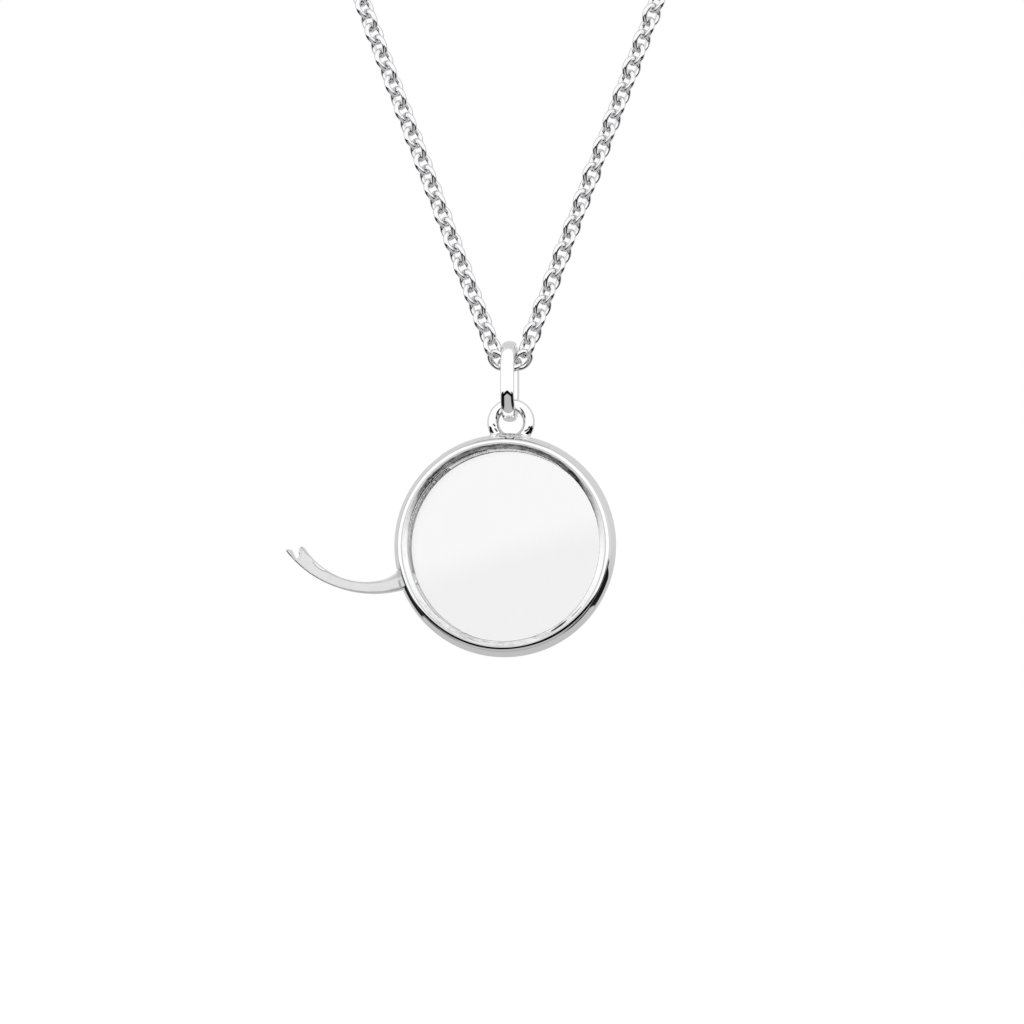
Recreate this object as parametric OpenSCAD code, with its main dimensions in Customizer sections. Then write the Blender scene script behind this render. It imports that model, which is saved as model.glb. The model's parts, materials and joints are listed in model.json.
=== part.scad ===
// Glass locket with a side gate, hung by an oval bail on a closed necklace chain.
// The origin is the nape, where the chain lies on the back of the neck. +Z is up, -Y is the front.

/* [Case] */
// Outside diameter of the round case
case_d = 22.3; // [22.1:0.1:23]
// Radius of the rounded front and back shoulder of the side band
shoulder_r = 1.88; // [1.8:0.02:1.96]
// Width of the side band from front edge to back edge
band_w = 3.6; // [3.5:0.05:3.7]
// Width of the bezel's rim around each glass
bezel_w = 1.06; // [1.02:0.02:1.08]
// Radius of the low dome across the bezel's rim
bezel_dome_r = 1.5; // [1.3:0.1:1.8]
// Gap between pieces of the locket that do not move
seat_gap = 0.05; // [0.03:0.01:0.06]

/* [Glass] */
// Diameter of each glass disc
glass_d = 19.76; // [19.6:0.02:19.8]
// Thickness of each glass disc
glass_t = 0.6; // [0.5:0.05:0.6]

/* [Gate] */
// Angle by which the gate stands open
gate_open_deg = 90.9; // [60:0.3:90.9]
// Width of the gate across the case
gate_w = 2; // [1.8:0.05:2]
// Thickness of the gate arm at its middle
gate_t = 1.05; // [1:0.05:1.1]
// Clearance of the gate from the walls of its slot
gate_gap = 0.05; // [0.04:0.01:0.1]
// Place of the hinge pin round the case, counted from the right
hinge_deg = 201.5; // [201.2:0.1:201.8]
// Diameter of the hinge pin
hinge_pin_d = 0.4; // [0.3:0.05:0.4]
// Diameter of the catch pin that the fork takes
catch_pin_d = 0.4; // [0.3:0.05:0.4]

/* [Loop] */
// Inside diameter of the loop on top of the case
loop_hole_d = 2.52; // [2.5:0.02:2.6]
// Wire diameter of the loop
loop_wire_d = 1.13; // [1.05:0.02:1.17]
// Angle by which the locket leans sideways on the bail
lean_deg = 2.7; // [0:0.1:6]

/* [Bail] */
// Height of the oval bail
bail_h = 8.14; // [7.8:0.02:9]
// Depth of the bail from front to back
bail_depth = 6.2; // [5.6:0.1:6.4]
// Width of the bail's bar, seen from the front
bail_w = 1.25; // [1.1:0.05:1.3]
// Thickness of the bail's bar
bail_t = 1.05; // [0.95:0.05:1.1]
// Gap between the bail and the chain that it hangs on
hang_gap = 0.25; // [0.2:0.05:0.4]

/* [Chain] */
// Diameter of the tube that the links fill
chain_d = 1.65; // [1.6:0.05:1.7]
// Half of the angle between the two front strands
strand_deg = 20.6; // [19:0.2:21]
// Angle by which the tops of the front strands lie back from the bail
strand_lean_deg = 15; // [10:1:20]
// Bend radius of the chain inside the bail
bend_r = 1.3; // [1.3:0.1:1.6]
// Length of chain that runs straight through the bail
bail_run = 0.7; // [0.5:0.1:1.2]

/* [Clasp] */
// Outside diameter of the bolt ring
bolt_ring_d = 6.3; // [6:0.1:7]
// Tube diameter of the bolt ring
bolt_tube_d = 1.3; // [1.2:0.1:1.4]
// Outside diameter of the end ring
end_ring_d = 3.7; // [3.6:0.1:3.8]
// Wire diameter of the end ring
end_wire_d = 0.7; // [0.6:0.05:0.7]

/* [Hidden] */
$fn = 96;

silver = [0.86, 0.86, 0.87];
clear_glass = [0.85, 0.9, 0.92, 0.5];

// The lowest point of the chain's centre line, in the middle of the bail
bottom = [0, -118, -200];

// Right half of the chain from the clasp round the neck to the top of the front strand
neck_route = [
    [5.2, 0, 0],
    [18, -1, -1],
    [36, -7, -3],
    [52, -21, -8],
    [62, -41, -17],
    [62, -61, -33]
];
// Heights above the bottom at which the front strand begins, ends its smooth join and starts to bow back
strand_top = 143;
strand_low = 120;
bow_low = 30;
neck_steps = 4;
strand_steps = 13;
bend_steps = 5;
chain_sides = 8;

// Case section: r is the distance from the case's axis, z the height above its middle plane
case_r = case_d / 2;
bezel_in_r = 9.5;
bezel_foot_z = 1.6;
bezel_top_z = 2.15;
crest_off = 0.5;
groove_r = bezel_in_r + bezel_w;
crest_r = groove_r - crest_off;
shoulder_off = shoulder_r - case_r + groove_r;
shoulder_z = band_w / 2 - sqrt(shoulder_r * shoulder_r - shoulder_off * shoulder_off);
glass_z = 1.1;
seat_r = glass_d / 2 + seat_gap;
seat_z0 = glass_z - seat_gap;
seat_z1 = glass_z + glass_t + seat_gap;
cavity_r = 9.6;

// Gate slot and pins, as places round the case
slot_top_deg = 128.2;
slot_low_deg = 206.6;
slot_w = gate_w + 2 * gate_gap;
slot_in_r = 8;
slot_out_r = 15;
hinge_r = 10.32;
catch_r = 10.56;
catch_deg = 134.4;
pin_half = 1.4;
pin_gap = 0.02;
pin_end_gap = 0.05;

// Gap in the band beside the hinge, where the root of the gate swings out
rim_gap_r = 10.65;
rim_gap_top_deg = 195;
rim_gap_low_deg = 204.8;

// Gate outline in its closed place
gate_r = case_r - 0.05;
arm_back_deg = 168.5;
arm_back_off = 2.07;
arm_back_r = gate_r - gate_t - arm_back_off;
knuckle_r = 0.82;
heel_r = 0.42;
heel_off = [0.62, 0.68];
arm_low_deg = 201;
outer_tip_deg = 126.8;
inner_tip_deg = 133.8;
inner_tip_r = 9.5;
arm_mid_deg = (outer_tip_deg + arm_low_deg) / 2;
arm_end_cut = 1;
arm_cut_out = 4;
arm_cut_in = 2;
flare_r = 3.65;
flare_off_r = 6.54;
flare_off_deg = 180.2;
flare_corners = [[10.3, 200.8], [9.26, 198.3], [9, 185], [10.3, 185]];
notch_r = 0.33;
notch_off_r = 10.62;
notch_off_deg = 134.9;
notch_turn_deg = 26.1;
notch_len = 3;
path_turn_deg = -11.5;
bore_gap = 0.04;

// Loop and its saddle
loop_wire_r = loop_wire_d / 2;
loop_ring_r = loop_hole_d / 2 + loop_wire_r;
saddle_half_deg = 10.4;
saddle_r = case_r + 0.15;
saddle_w = 1.5;
saddle_cut = 1;

// Bail: heights are counted from the chain's centre line
bail_top = chain_d / 2 + hang_gap + bail_t;
bail_mid_r = (bail_depth - bail_t) / 2;
bail_straight = bail_h - bail_depth;
bail_mid = bail_top - bail_h / 2;
bar_z = bail_top - bail_h + bail_t / 2;
bail_round_out = 0.42;
bail_round_in = 0.45;

// The loop hangs on the bail's lower bar
loop_gap = 0.17;
loop_shift = 0.15;
loop_drop = loop_hole_d / 2 - bail_t / 2 - loop_gap;
case_to_loop = 12.4;
case_drop = loop_drop + case_to_loop;

// Clasp places along X at the nape
bolt_x = 0.25;
eye_d = 2.4;
eye_wire_d = 0.6;
eye_sink = 0.1;
knob_x = 0.6;
knob_d = 0.7;
knob_h = 1.4;
end_ring_x = 3.05;

// Place on a circle in the plane of the case
function polar(r, a) = [r * cos(a), r * sin(a)];

// Smooth route through points, by cubic steps between neighbours
function at(p, i) = p[max(0, min(len(p) - 1, i))];
function cubic(a, b, c, d, t) =
    0.5 * (2 * b + (c - a) * t + (2 * a - 5 * b + 4 * c - d) * t * t + (3 * b - a - 3 * c + d) * t * t * t);
function smooth(p, n) = [
    for (i = [0 : len(p) - 2], k = [0 : n - 1]) cubic(at(p, i - 1), p[i], p[i + 1], at(p, i + 2), k / n)
];

// Point on the right front strand at a height above the bottom: plumb at the foot, then bowed back
strand_x0 = bail_run / 2 + bend_r * cos(strand_deg);
strand_z0 = bend_r * (1 - sin(strand_deg));
function bow(h) = strand_top * tan(strand_lean_deg) * pow(max(0, h - bow_low) / (strand_top - bow_low), 2);
function strand(h) = bottom + [strand_x0 + (h - strand_z0) * tan(strand_deg), bow(h), h];

// The bend from the strand's foot to the straight run in the bail
function bend(a) = bottom + [bail_run / 2 + bend_r * sin(a), 0, bend_r * (1 - cos(a))];

right_half = concat(
    smooth(concat(neck_route, [strand(strand_top), strand(strand_low)]), neck_steps),
    [for (k = [0 : strand_steps - 1]) strand(strand_low + (strand_z0 - strand_low) * k / strand_steps)],
    [for (k = [0 : bend_steps]) bend((90 - strand_deg) * (1 - k / bend_steps))]
);
last = len(right_half) - 1;
route = concat(right_half, [for (k = [0 : last]) [-right_half[last - k][0], right_half[last - k][1], right_half[last - k][2]]]);

// Rings of the tube: each stands square to the route, turned as little as possible from the ring before
function unit(v) = v / norm(v);
function heading(p, i) = unit(at(p, i + 1) - at(p, i - 1));
function side_step(s, t) = unit(s - (s * t) * t);
function sides(p, i) = i == 0 ? side_step([0, 0, 1], heading(p, 0)) : side_step(sides(p, i - 1), heading(p, i));
function ring(p, i, r, n) =
    let (t = heading(p, i), s = sides(p, i), u = cross(t, s))
    [for (k = [0 : n - 1]) p[i] + r * (cos(360 * k / n) * s + sin(360 * k / n) * u)];

module tube(p, r, n) {
    m = len(p);
    points = [for (i = [0 : m - 1]) each ring(p, i, r, n)];
    walls = [for (i = [0 : m - 2], k = [0 : n - 1])
        [i * n + k, i * n + (k + 1) % n, (i + 1) * n + (k + 1) % n, (i + 1) * n + k]];
    start = [for (k = [0 : n - 1]) n - 1 - k];
    end = [for (k = [0 : n - 1]) (m - 1) * n + k];
    polyhedron(points, concat(walls, [start, end]), convexity = 10);
}

// A ring of round wire that faces along Z
module wire_ring(mid_r, wire_r) {
    rotate_extrude() translate([mid_r, 0]) circle(r = wire_r);
}

// Stands a shape drawn in the plane of the case upright, at the case's place under the bail
module in_case_place() {
    translate(bottom + [loop_shift, 0, bar_z])
        rotate([0, lean_deg, 0])
            translate([0, 0, -case_drop])
                rotate([90, 0, 0])
                    children();
}

module pin_at(r, a, d, half) {
    translate(polar(r, a)) cylinder(h = 2 * half, d = d, center = true);
}

// Half of the case's section, from its middle plane to the front
module half_section() {
    difference() {
        union() {
            translate([cavity_r, 0]) square([case_r - cavity_r, shoulder_z]);
            intersection() {
                translate([cavity_r, 0]) square([case_r - cavity_r, band_w / 2]);
                translate([case_r - shoulder_r, shoulder_z]) circle(r = shoulder_r);
            }
            intersection() {
                translate([bezel_in_r, bezel_foot_z]) square([bezel_w, bezel_top_z - bezel_foot_z]);
                translate([crest_r, bezel_top_z - bezel_dome_r]) circle(r = bezel_dome_r);
            }
        }
        translate([0, seat_z0]) square([seat_r, seat_z1 - seat_z0]);
    }
}

// Four corners between two places round the case and two distances from its axis
function sector(r0, r1, a0, a1) = [polar(r0, a0), polar(r1, a0), polar(r1, a1), polar(r0, a1)];

module slot() {
    linear_extrude(height = slot_w, center = true)
        polygon(sector(slot_in_r, slot_out_r, slot_top_deg, slot_low_deg));
}

module rim_gap() {
    linear_extrude(height = 2 * band_w, center = true)
        difference() {
            polygon(sector(slot_in_r, slot_out_r, rim_gap_top_deg, rim_gap_low_deg));
            circle(r = rim_gap_r);
        }
}

module loop() {
    translate([0, case_to_loop]) wire_ring(loop_ring_r, loop_wire_r);
}

module saddle() {
    linear_extrude(height = saddle_w, center = true)
        intersection() {
            circle(r = saddle_r);
            polygon(sector(case_r - saddle_cut, saddle_r + saddle_cut, 90 - saddle_half_deg, 90 + saddle_half_deg));
        }
}

// Arm of the gate in its closed place, thickest in the middle
module gate_arm() {
    difference() {
        intersection() {
            circle(r = gate_r);
            polygon([
                polar(gate_r + arm_end_cut, outer_tip_deg),
                polar(gate_r + arm_cut_out, arm_mid_deg),
                polar(gate_r + arm_end_cut, arm_low_deg),
                polar(inner_tip_r, arm_low_deg),
                polar(inner_tip_r - arm_cut_in, arm_mid_deg),
                polar(inner_tip_r, inner_tip_deg)
            ]);
        }
        translate(polar(arm_back_off, arm_back_deg)) circle(r = arm_back_r);
    }
}

// Hollow flare from the arm to the knuckle
module gate_flare() {
    difference() {
        polygon([for (c = flare_corners) polar(c[0], c[1])]);
        translate(polar(flare_off_r, flare_off_deg)) circle(r = flare_r);
    }
}

// Outline of the gate in its closed place, seen from the front
module gate_outline() {
    difference() {
        union() {
            gate_arm();
            gate_flare();
            translate(polar(hinge_r, hinge_deg)) circle(r = knuckle_r);
            translate(polar(hinge_r, hinge_deg) + heel_off) circle(r = heel_r);
        }
        translate(polar(hinge_r, hinge_deg)) circle(d = hinge_pin_d + 2 * bore_gap);
        translate(polar(notch_off_r, notch_off_deg)) circle(r = notch_r);
        translate(polar(notch_off_r, notch_off_deg))
            rotate(notch_turn_deg)
                translate([0, -notch_r])
                    square([notch_len, 2 * notch_r]);
        translate(polar(catch_r, catch_deg))
            rotate(path_turn_deg)
                translate([0, -catch_pin_d / 2 - gate_gap])
                    square([notch_len, catch_pin_d + 2 * gate_gap]);
    }
}

module glass_disc(side) {
    translate([0, 0, side > 0 ? glass_z : -glass_z - glass_t]) cylinder(h = glass_t, d = glass_d);
}

// Section of the bail's bar: X runs outward from the ring's middle, Y across the bar
module bar_section() {
    t = bail_t / 2;
    w = bail_w / 2;
    o = bail_round_out;
    i = bail_round_in;
    polygon(concat(
        [for (a = [0 : 15 : 90]) [t - o + o * cos(a), w - o + o * sin(a)]],
        [for (a = [90 : 30 : 180]) [i - t + i * cos(a), w - i + i * sin(a)]],
        [for (a = [180 : 30 : 270]) [i - t + i * cos(a), i - w + i * sin(a)]],
        [for (a = [270 : 15 : 360]) [t - o + o * cos(a), o - w + o * sin(a)]]
    ));
}

module half_oval() {
    translate([0, bail_straight / 2]) rotate_extrude(angle = 180) translate([bail_mid_r, 0]) bar_section();
}

module limb() {
    translate([bail_mid_r, 0]) rotate([90, 0, 0]) linear_extrude(height = bail_straight, center = true) bar_section();
}

module chain() {
    color(silver) tube(route, chain_d / 2, chain_sides);
}

module clasp() {
    eye_mid_r = (eye_d - eye_wire_d) / 2;
    bolt_mid_r = (bolt_ring_d - bolt_tube_d) / 2;
    color(silver) {
        translate([bolt_x, 0, 0]) rotate([90, 0, 0]) wire_ring(bolt_mid_r, bolt_tube_d / 2);
        translate([bolt_x - bolt_ring_d / 2 - eye_mid_r + eye_sink, 0, 0])
            rotate([90, 0, 0])
                wire_ring(eye_mid_r, eye_wire_d / 2);
        translate([bolt_x + knob_x, 0, bolt_mid_r]) cylinder(h = knob_h, d = knob_d);
    }
}

module end_ring() {
    color(silver) translate([end_ring_x, 0, 0]) wire_ring((end_ring_d - end_wire_d) / 2, end_wire_d / 2);
}

module bail() {
    color(silver)
        translate(bottom + [0, 0, bail_mid])
            rotate([90, 0, 90]) {
                half_oval();
                rotate(180) half_oval();
                limb();
                rotate(180) limb();
            }
}

module case() {
    color(silver)
        in_case_place() {
            difference() {
                union() {
                    rotate_extrude() half_section();
                    rotate_extrude() mirror([0, 1]) half_section();
                    loop();
                    saddle();
                }
                slot();
                rim_gap();
                pin_at(hinge_r, hinge_deg, hinge_pin_d + 2 * pin_gap, pin_half + pin_end_gap);
                pin_at(catch_r, catch_deg, catch_pin_d + 2 * pin_gap, pin_half + pin_end_gap);
            }
        }
}

module front_glass() {
    color(clear_glass) in_case_place() glass_disc(1);
}

module back_glass() {
    color(clear_glass) in_case_place() glass_disc(-1);
}

module hinge_pin() {
    color(silver) in_case_place() pin_at(hinge_r, hinge_deg, hinge_pin_d, pin_half);
}

module catch_pin() {
    color(silver) in_case_place() pin_at(catch_r, catch_deg, catch_pin_d, pin_half);
}

module gate() {
    hinge = polar(hinge_r, hinge_deg);
    color(silver)
        in_case_place()
            translate(hinge)
                rotate(gate_open_deg)
                    translate(-hinge)
                        linear_extrude(height = gate_w, center = true)
                            gate_outline();
}

chain();
clasp();
end_ring();
bail();
case();
front_glass();
back_glass();
hinge_pin();
catch_pin();
gate();
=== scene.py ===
import json
import math
from types import SimpleNamespace

import bmesh
import bpy
import numpy as np
from mathutils import Matrix, Vector


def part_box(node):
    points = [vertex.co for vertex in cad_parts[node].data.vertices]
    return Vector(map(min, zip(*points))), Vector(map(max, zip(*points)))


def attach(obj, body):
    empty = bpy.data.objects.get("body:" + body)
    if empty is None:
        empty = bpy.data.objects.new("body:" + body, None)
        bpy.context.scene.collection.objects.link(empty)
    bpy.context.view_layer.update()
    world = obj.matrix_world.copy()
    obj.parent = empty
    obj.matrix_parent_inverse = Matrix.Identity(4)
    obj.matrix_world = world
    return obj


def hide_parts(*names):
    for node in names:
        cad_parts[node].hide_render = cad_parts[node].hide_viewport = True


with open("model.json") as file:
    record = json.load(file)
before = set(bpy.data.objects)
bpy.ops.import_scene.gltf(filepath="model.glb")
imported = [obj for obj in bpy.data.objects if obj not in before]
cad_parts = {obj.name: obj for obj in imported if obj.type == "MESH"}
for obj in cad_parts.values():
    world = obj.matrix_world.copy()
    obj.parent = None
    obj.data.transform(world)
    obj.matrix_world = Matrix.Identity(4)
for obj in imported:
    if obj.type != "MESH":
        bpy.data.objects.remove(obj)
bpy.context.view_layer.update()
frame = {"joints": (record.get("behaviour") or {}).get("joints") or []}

bl_info = {
    "name": "Floating locket",
    "version": (1, 0, 0),
    "blender": (4, 5, 0),
    "location": "3D View > Sidebar > Locket",
    "description": "Builds a round glass locket with an open side gate on its bail and cable chain",
    "category": "Add Mesh",
}

# Builders work in millimetres. A placing matrix brings them to metres in the shared frame.
MM = 0.001
TURN = 2 * math.pi
deg = math.radians

JOINTS = {joint["name"]: joint for joint in frame["joints"]}


def middle(node):
    """Middle of a packed node's box, in metres."""
    low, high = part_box(node)
    return (low + high) / 2


# Places taken from the packed model
CASE_MIDDLE = (middle("front_glass") + middle("back_glass")) / 2
CHAIN_BOTTOM = Vector(JOINTS["bail_swing"]["pos_m"])
GATE_OPEN = deg(JOINTS["gate_hinge"]["range_deg"][1])


# Sizes and colours that a user would change

def length(name, description, millimetres, **more):
    """A length in the sidebar, given in millimetres."""
    return bpy.props.FloatProperty(
        name=name,
        description=description,
        default=millimetres * MM,
        min=0,
        precision=5,
        subtype="DISTANCE",
        unit="LENGTH",
        **more,
    )


def angle(name, description, degrees):
    """An angle in the sidebar, given in degrees."""
    return bpy.props.FloatProperty(
        name=name,
        description=description,
        default=deg(degrees),
        subtype="ANGLE",
        unit="ROTATION",
    )


def colour(name, description, value):
    """A colour in the sidebar."""
    return bpy.props.FloatVectorProperty(
        name=name,
        description=description,
        default=value,
        min=0,
        max=1,
        size=3,
        subtype="COLOR",
    )


def share(name, description, value):
    """A share from 0 to 1 in the sidebar."""
    return bpy.props.FloatProperty(
        name=name, description=description, default=value, min=0, max=1, subtype="FACTOR"
    )


class LocketCase(bpy.types.PropertyGroup):
    """Sizes of the round case, its bezels and its glass"""

    diameter: length("Diameter", "Outside diameter of the case", 22.3)
    band_width: length("Band width", "Width of the side band from front to back", 3.6)
    shoulder: length("Shoulder radius", "Rounding of the band's front and back shoulders", 1.88)
    bezel_inner: length("Bezel inner radius", "Radius of the opening that shows the glass", 9.58)
    bezel_width: length("Bezel width", "Width of the bezel's rim", 0.98)
    bezel_dome: length("Bezel dome radius", "Radius of the low dome across the bezel", 1.5)
    bezel_top: length("Bezel height", "Height of the bezel's crest above the middle plane", 2.15)
    crest_offset: length("Crest offset", "Distance of the bezel's crest from its outer edge", 0.38)
    cavity: length("Cavity radius", "Radius of the hollow between the glasses", 9.6)
    seat: length("Seat radius", "Radius of the groove that holds a glass", 9.93)
    seat_low: length("Seat floor", "Height of the seat's inner face", 1.05)
    seat_high: length("Seat roof", "Height of the seat's outer face", 1.75)
    slot_half: length("Half slot width", "Half of the width of the gate's slot", 1.05)
    gap_radius: length("Gap radius", "Radius outside which the band is cut away at the hinge", 10.65)
    slot_top: angle("Slot top", "Place of the slot's upper end round the case", 128.2)
    slot_low: angle("Slot foot", "Place of the slot's lower end round the case", 206.6)
    gap_top: angle("Gap top", "Place of the gap's upper end round the case", 195)
    gap_low: angle("Gap foot", "Place of the gap's lower end round the case", 204.8)
    lean: angle("Lean", "Sideways lean of the case under the bail", 2.7)
    glass: length("Glass diameter", "Diameter of each glass disc", 19.76)
    glass_low: length("Glass floor", "Height of the inner face of each glass", 1.1)
    glass_depth: length("Glass thickness", "Thickness of each glass disc", 0.6)


class LocketLoop(bpy.types.PropertyGroup):
    """Sizes of the loop and the saddle that joins it to the case"""

    middle: length("Loop height", "Height of the loop's middle above the case's middle", 12.4)
    ring: length("Ring radius", "Radius of the loop's centre line", 1.8)
    wire: length("Wire radius", "Radius of the loop's wire", 0.59)
    saddle_half: length("Half saddle", "Half of the saddle's width", 2.0)
    saddle_rise: length("Saddle height", "Height of the saddle above the band", 0.1)
    saddle_depth: length("Half saddle depth", "Half of the saddle's depth", 0.8)
    fillet: length("Fillet", "Size of the solder fillet", 0.2)


class LocketGate(bpy.types.PropertyGroup):
    """Sizes of the gate and its pins"""

    width: length("Width", "Width of the gate across the case", 2.0)
    thickness: length("Thickness", "Thickness of the arm at its middle", 1.05)
    edge: length("Edge", "Rounding of the gate's edges", 0.12)
    hinge: length("Hinge radius", "Distance of the hinge pin from the case's middle", 10.32)
    hinge_place: angle("Hinge place", "Place of the hinge pin round the case", 201.5)
    catch: length("Catch radius", "Distance of the catch pin from the case's middle", 10.56)
    catch_place: angle("Catch place", "Place of the catch pin round the case", 134.4)
    pin: length("Pin diameter", "Diameter of the hinge pin and the catch pin", 0.4)
    pin_half: length("Half pin length", "Half of the length of each pin", 1.4)


class LocketBail(bpy.types.PropertyGroup):
    """Sizes of the oval bail"""

    height: length("Height", "Height of the bail", 8.14)
    depth: length("Depth", "Depth of the bail from front to back", 6.2)
    width: length("Bar width", "Width of the bar, seen from the front", 1.4)
    thickness: length("Bar thickness", "Thickness of the bar", 1.05)
    dome: length("Dome radius", "Radius of the low dome across the bar's outer face", 1.2)
    dome_half: angle("Half dome", "Half of the angle that the dome spans", 24)
    lean_in: bpy.props.FloatProperty(
        name="Inner taper",
        description="Power that draws in the inner face's half oval, 1 for a true oval",
        default=1.3,
        min=1,
        max=1.5,
    )
    top: length("Top", "Height of the bail's top above the chain's centre line", 2.125)


class LocketChain(bpy.types.PropertyGroup):
    """Sizes of the cable chain"""

    pitch: length("Pitch", "Distance from one link to the next", 1.43)
    link_length: length("Link length", "Outside length of a link", 2.5)
    link_width: length("Link width", "Outside width of a link", 2.2)
    wire: length("Wire diameter", "Diameter of a link's wire", 0.54)
    roll: angle("Roll", "Angle to which each link turns, one way and then the other", 45)
    jitter: angle("Jitter", "Largest chance turn of a link", 3)
    near: bpy.props.IntProperty(
        name="Fine links",
        description="Number of finely made links on each side of the bail",
        default=34,
        min=0,
    )
    strand: angle("Strand angle", "Half of the angle between the front strands", 20.6)
    strand_lean: angle("Strand lean", "Angle by which the strands' tops lie back from the bail", 15)
    bow_low: length("Bow foot", "Height at which the strands start to bow back", 30)
    bend: length("Bend radius", "Bend of the chain inside the bail", 1.45)
    dip: length("Dip", "Depth to which the links beside the bail hang below its joint", 0.41)
    lift: length("Lift", "Height of the middle link above its neighbours' bend", 0.31)


class LocketClasp(bpy.types.PropertyGroup):
    """Sizes of the bolt ring and the end ring"""

    bolt_place: length("Bolt ring place", "Distance of the bolt ring from the nape", 0.25)
    bolt: length("Bolt ring radius", "Radius of the bolt ring's centre line", 2.5)
    bolt_tube: length("Bolt ring tube", "Radius of the bolt ring's tube", 0.65)
    eye: length("Eye radius", "Radius of the eye's centre line", 0.9)
    eye_wire: length("Eye wire", "Radius of the eye's wire", 0.3)
    eye_sink: length("Eye sink", "Depth to which the eye sinks in the ring", 0.1)
    knob_place: length("Knob place", "Distance of the knob from the ring's middle", 0.6)
    knob: length("Knob radius", "Radius of the knob", 0.35)
    knob_height: length("Knob height", "Height of the knob above the tube's centre line", 1.4)
    end_place: length("End ring place", "Distance of the end ring from the nape", 3.05)
    end: length("End ring radius", "Radius of the end ring's centre line", 1.5)
    end_wire: length("End ring wire", "Radius of the end ring's wire", 0.35)


class LocketFinish(bpy.types.PropertyGroup):
    """Colours and gloss of the metal and the glass"""

    silver: colour("Silver", "Colour of the polished silver", (0.93, 0.93, 0.935))
    # The dark colour that painted shade mixes in: painted shade in corners, creases and link ends, and
    # painted dark reflections on the bezel, loop and gate
    painted_shade: colour("Painted shade", "Colour of the silver in deep corners", (0.03, 0.03, 0.03))
    polish: share("Polish", "Least roughness of the mirror polish", 0.02)
    wear: share("Wear", "Roughness that wear adds to the polish", 0.05)
    blur: share("Gate blur", "Roughness that the gate's satin adds to the polish", 0.3)
    # Satin is a light painted shade over the gate's front and back; the satin's roughness is the gate blur
    satin: share("Satin", "Tarnish of the gate's satin front and back", 0.03)
    # The glass colour, and a darker lower right colour that is painted shade
    glass: colour("Glass", "Tint of the glass at the upper left", (0.957, 0.957, 0.957))
    glass_low: colour("Lower glass", "Tint of the glass at the lower right", (0.925, 0.925, 0.925))


class LocketStage(bpy.types.PropertyGroup):
    """Camera, floor and studio light"""

    azimuth: angle("Azimuth", "Angle of the camera to the right of the front", 5.5)
    elevation: angle("Elevation", "Angle of the camera above the horizon", -4)
    distance: length("Distance", "Distance of the camera", 350)
    view_width: length("View width", "Width of the picture at the locket", 102.4)
    floor: length("Floor depth", "Depth of the floor below the nape", 300)
    floor_size: length("Floor size", "Width of the floor", 8000)


SETTINGS = {
    "locket_case": LocketCase,
    "locket_loop": LocketLoop,
    "locket_gate": LocketGate,
    "locket_bail": LocketBail,
    "locket_chain": LocketChain,
    "locket_clasp": LocketClasp,
    "locket_finish": LocketFinish,
    "locket_stage": LocketStage,
}


def settings(context, name):
    """A group's values: its lengths in millimetres, and the others as they are."""
    group = getattr(context.scene, name)
    values = {}
    for key in SETTINGS[name].__annotations__:
        kind = group.bl_rna.properties[key]
        value = getattr(group, key)
        is_length = kind.type == "FLOAT" and kind.unit == "LENGTH"
        values[key] = value / MM if is_length else value
    return SimpleNamespace(**values)


# Meshes from points and faces

def new_piece(name, points, faces, place):
    """A mesh object made of points in millimetres, brought to metres by a placing matrix."""
    mesh = bpy.data.meshes.new(name)
    mesh.from_pydata([tuple(point) for point in points], [], [tuple(face) for face in faces])
    mesh.transform(place @ Matrix.Scale(MM, 4))
    piece = bpy.data.objects.new(name, mesh)
    bpy.context.scene.collection.objects.link(piece)
    return piece


def close_up(piece, reach=1e-8):
    """Merges doubled points and turns all faces outwards."""
    shell = bmesh.new()
    shell.from_mesh(piece.data)
    bmesh.ops.remove_doubles(shell, verts=shell.verts, dist=reach)
    bmesh.ops.recalc_face_normals(shell, faces=shell.faces)
    shell.to_mesh(piece.data)
    shell.free()


def smooth(piece):
    """Shades a piece smoothly all over."""
    piece.data.shade_smooth()


def baked(piece):
    """Turns a piece's modifiers into plain mesh."""
    depsgraph = bpy.context.evaluated_depsgraph_get()
    plain = bpy.data.meshes.new_from_object(piece.evaluated_get(depsgraph))
    piece.modifiers.clear()
    old = piece.data
    piece.data = plain
    bpy.data.meshes.remove(old)
    return piece


def hand_over(piece, material, node, body):
    """Gives a finished piece its material and its body, and hides the packed node's own mesh."""
    piece.data.materials.clear()
    piece.data.materials.append(material)
    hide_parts(node)
    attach(piece, body)


def grid_faces(rows, columns, round_rows, round_columns):
    """Faces of a grid of points, closed on itself along either way."""
    faces = []
    for row in range(rows if round_rows else rows - 1):
        for column in range(columns if round_columns else columns - 1):
            after_row = (row + 1) % rows
            after_column = (column + 1) % columns
            faces.append((
                row * columns + column,
                row * columns + after_column,
                after_row * columns + after_column,
                after_row * columns + column,
            ))
    return faces


def arc(middle_point, radius, start, end, steps):
    """Points along an arc, from one angle to another."""
    return [
        (middle_point[0] + radius * math.cos(a), middle_point[1] + radius * math.sin(a))
        for a in np.linspace(start, end, steps + 1)
    ]


def lathe(run, around, axis_at=(0, 0)):
    """Points of a run of (radius, height) points turned about an upright axis."""
    return [
        (axis_at[0] + r * math.cos(a), axis_at[1] + r * math.sin(a), z)
        for a in np.linspace(0, TURN, around, endpoint=False)
        for r, z in run
    ]


# Skins: closed meshes of the surface where a distance field is zero

def gradient(field, points, reach=1e-3):
    """Slope of a field along the three axes."""
    slopes = []
    for axis in range(3):
        step = np.zeros(3)
        step[axis] = reach
        slopes.append((field(points + step) - field(points - step)) / (2 * reach))
    return np.stack(slopes, -1)


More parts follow.
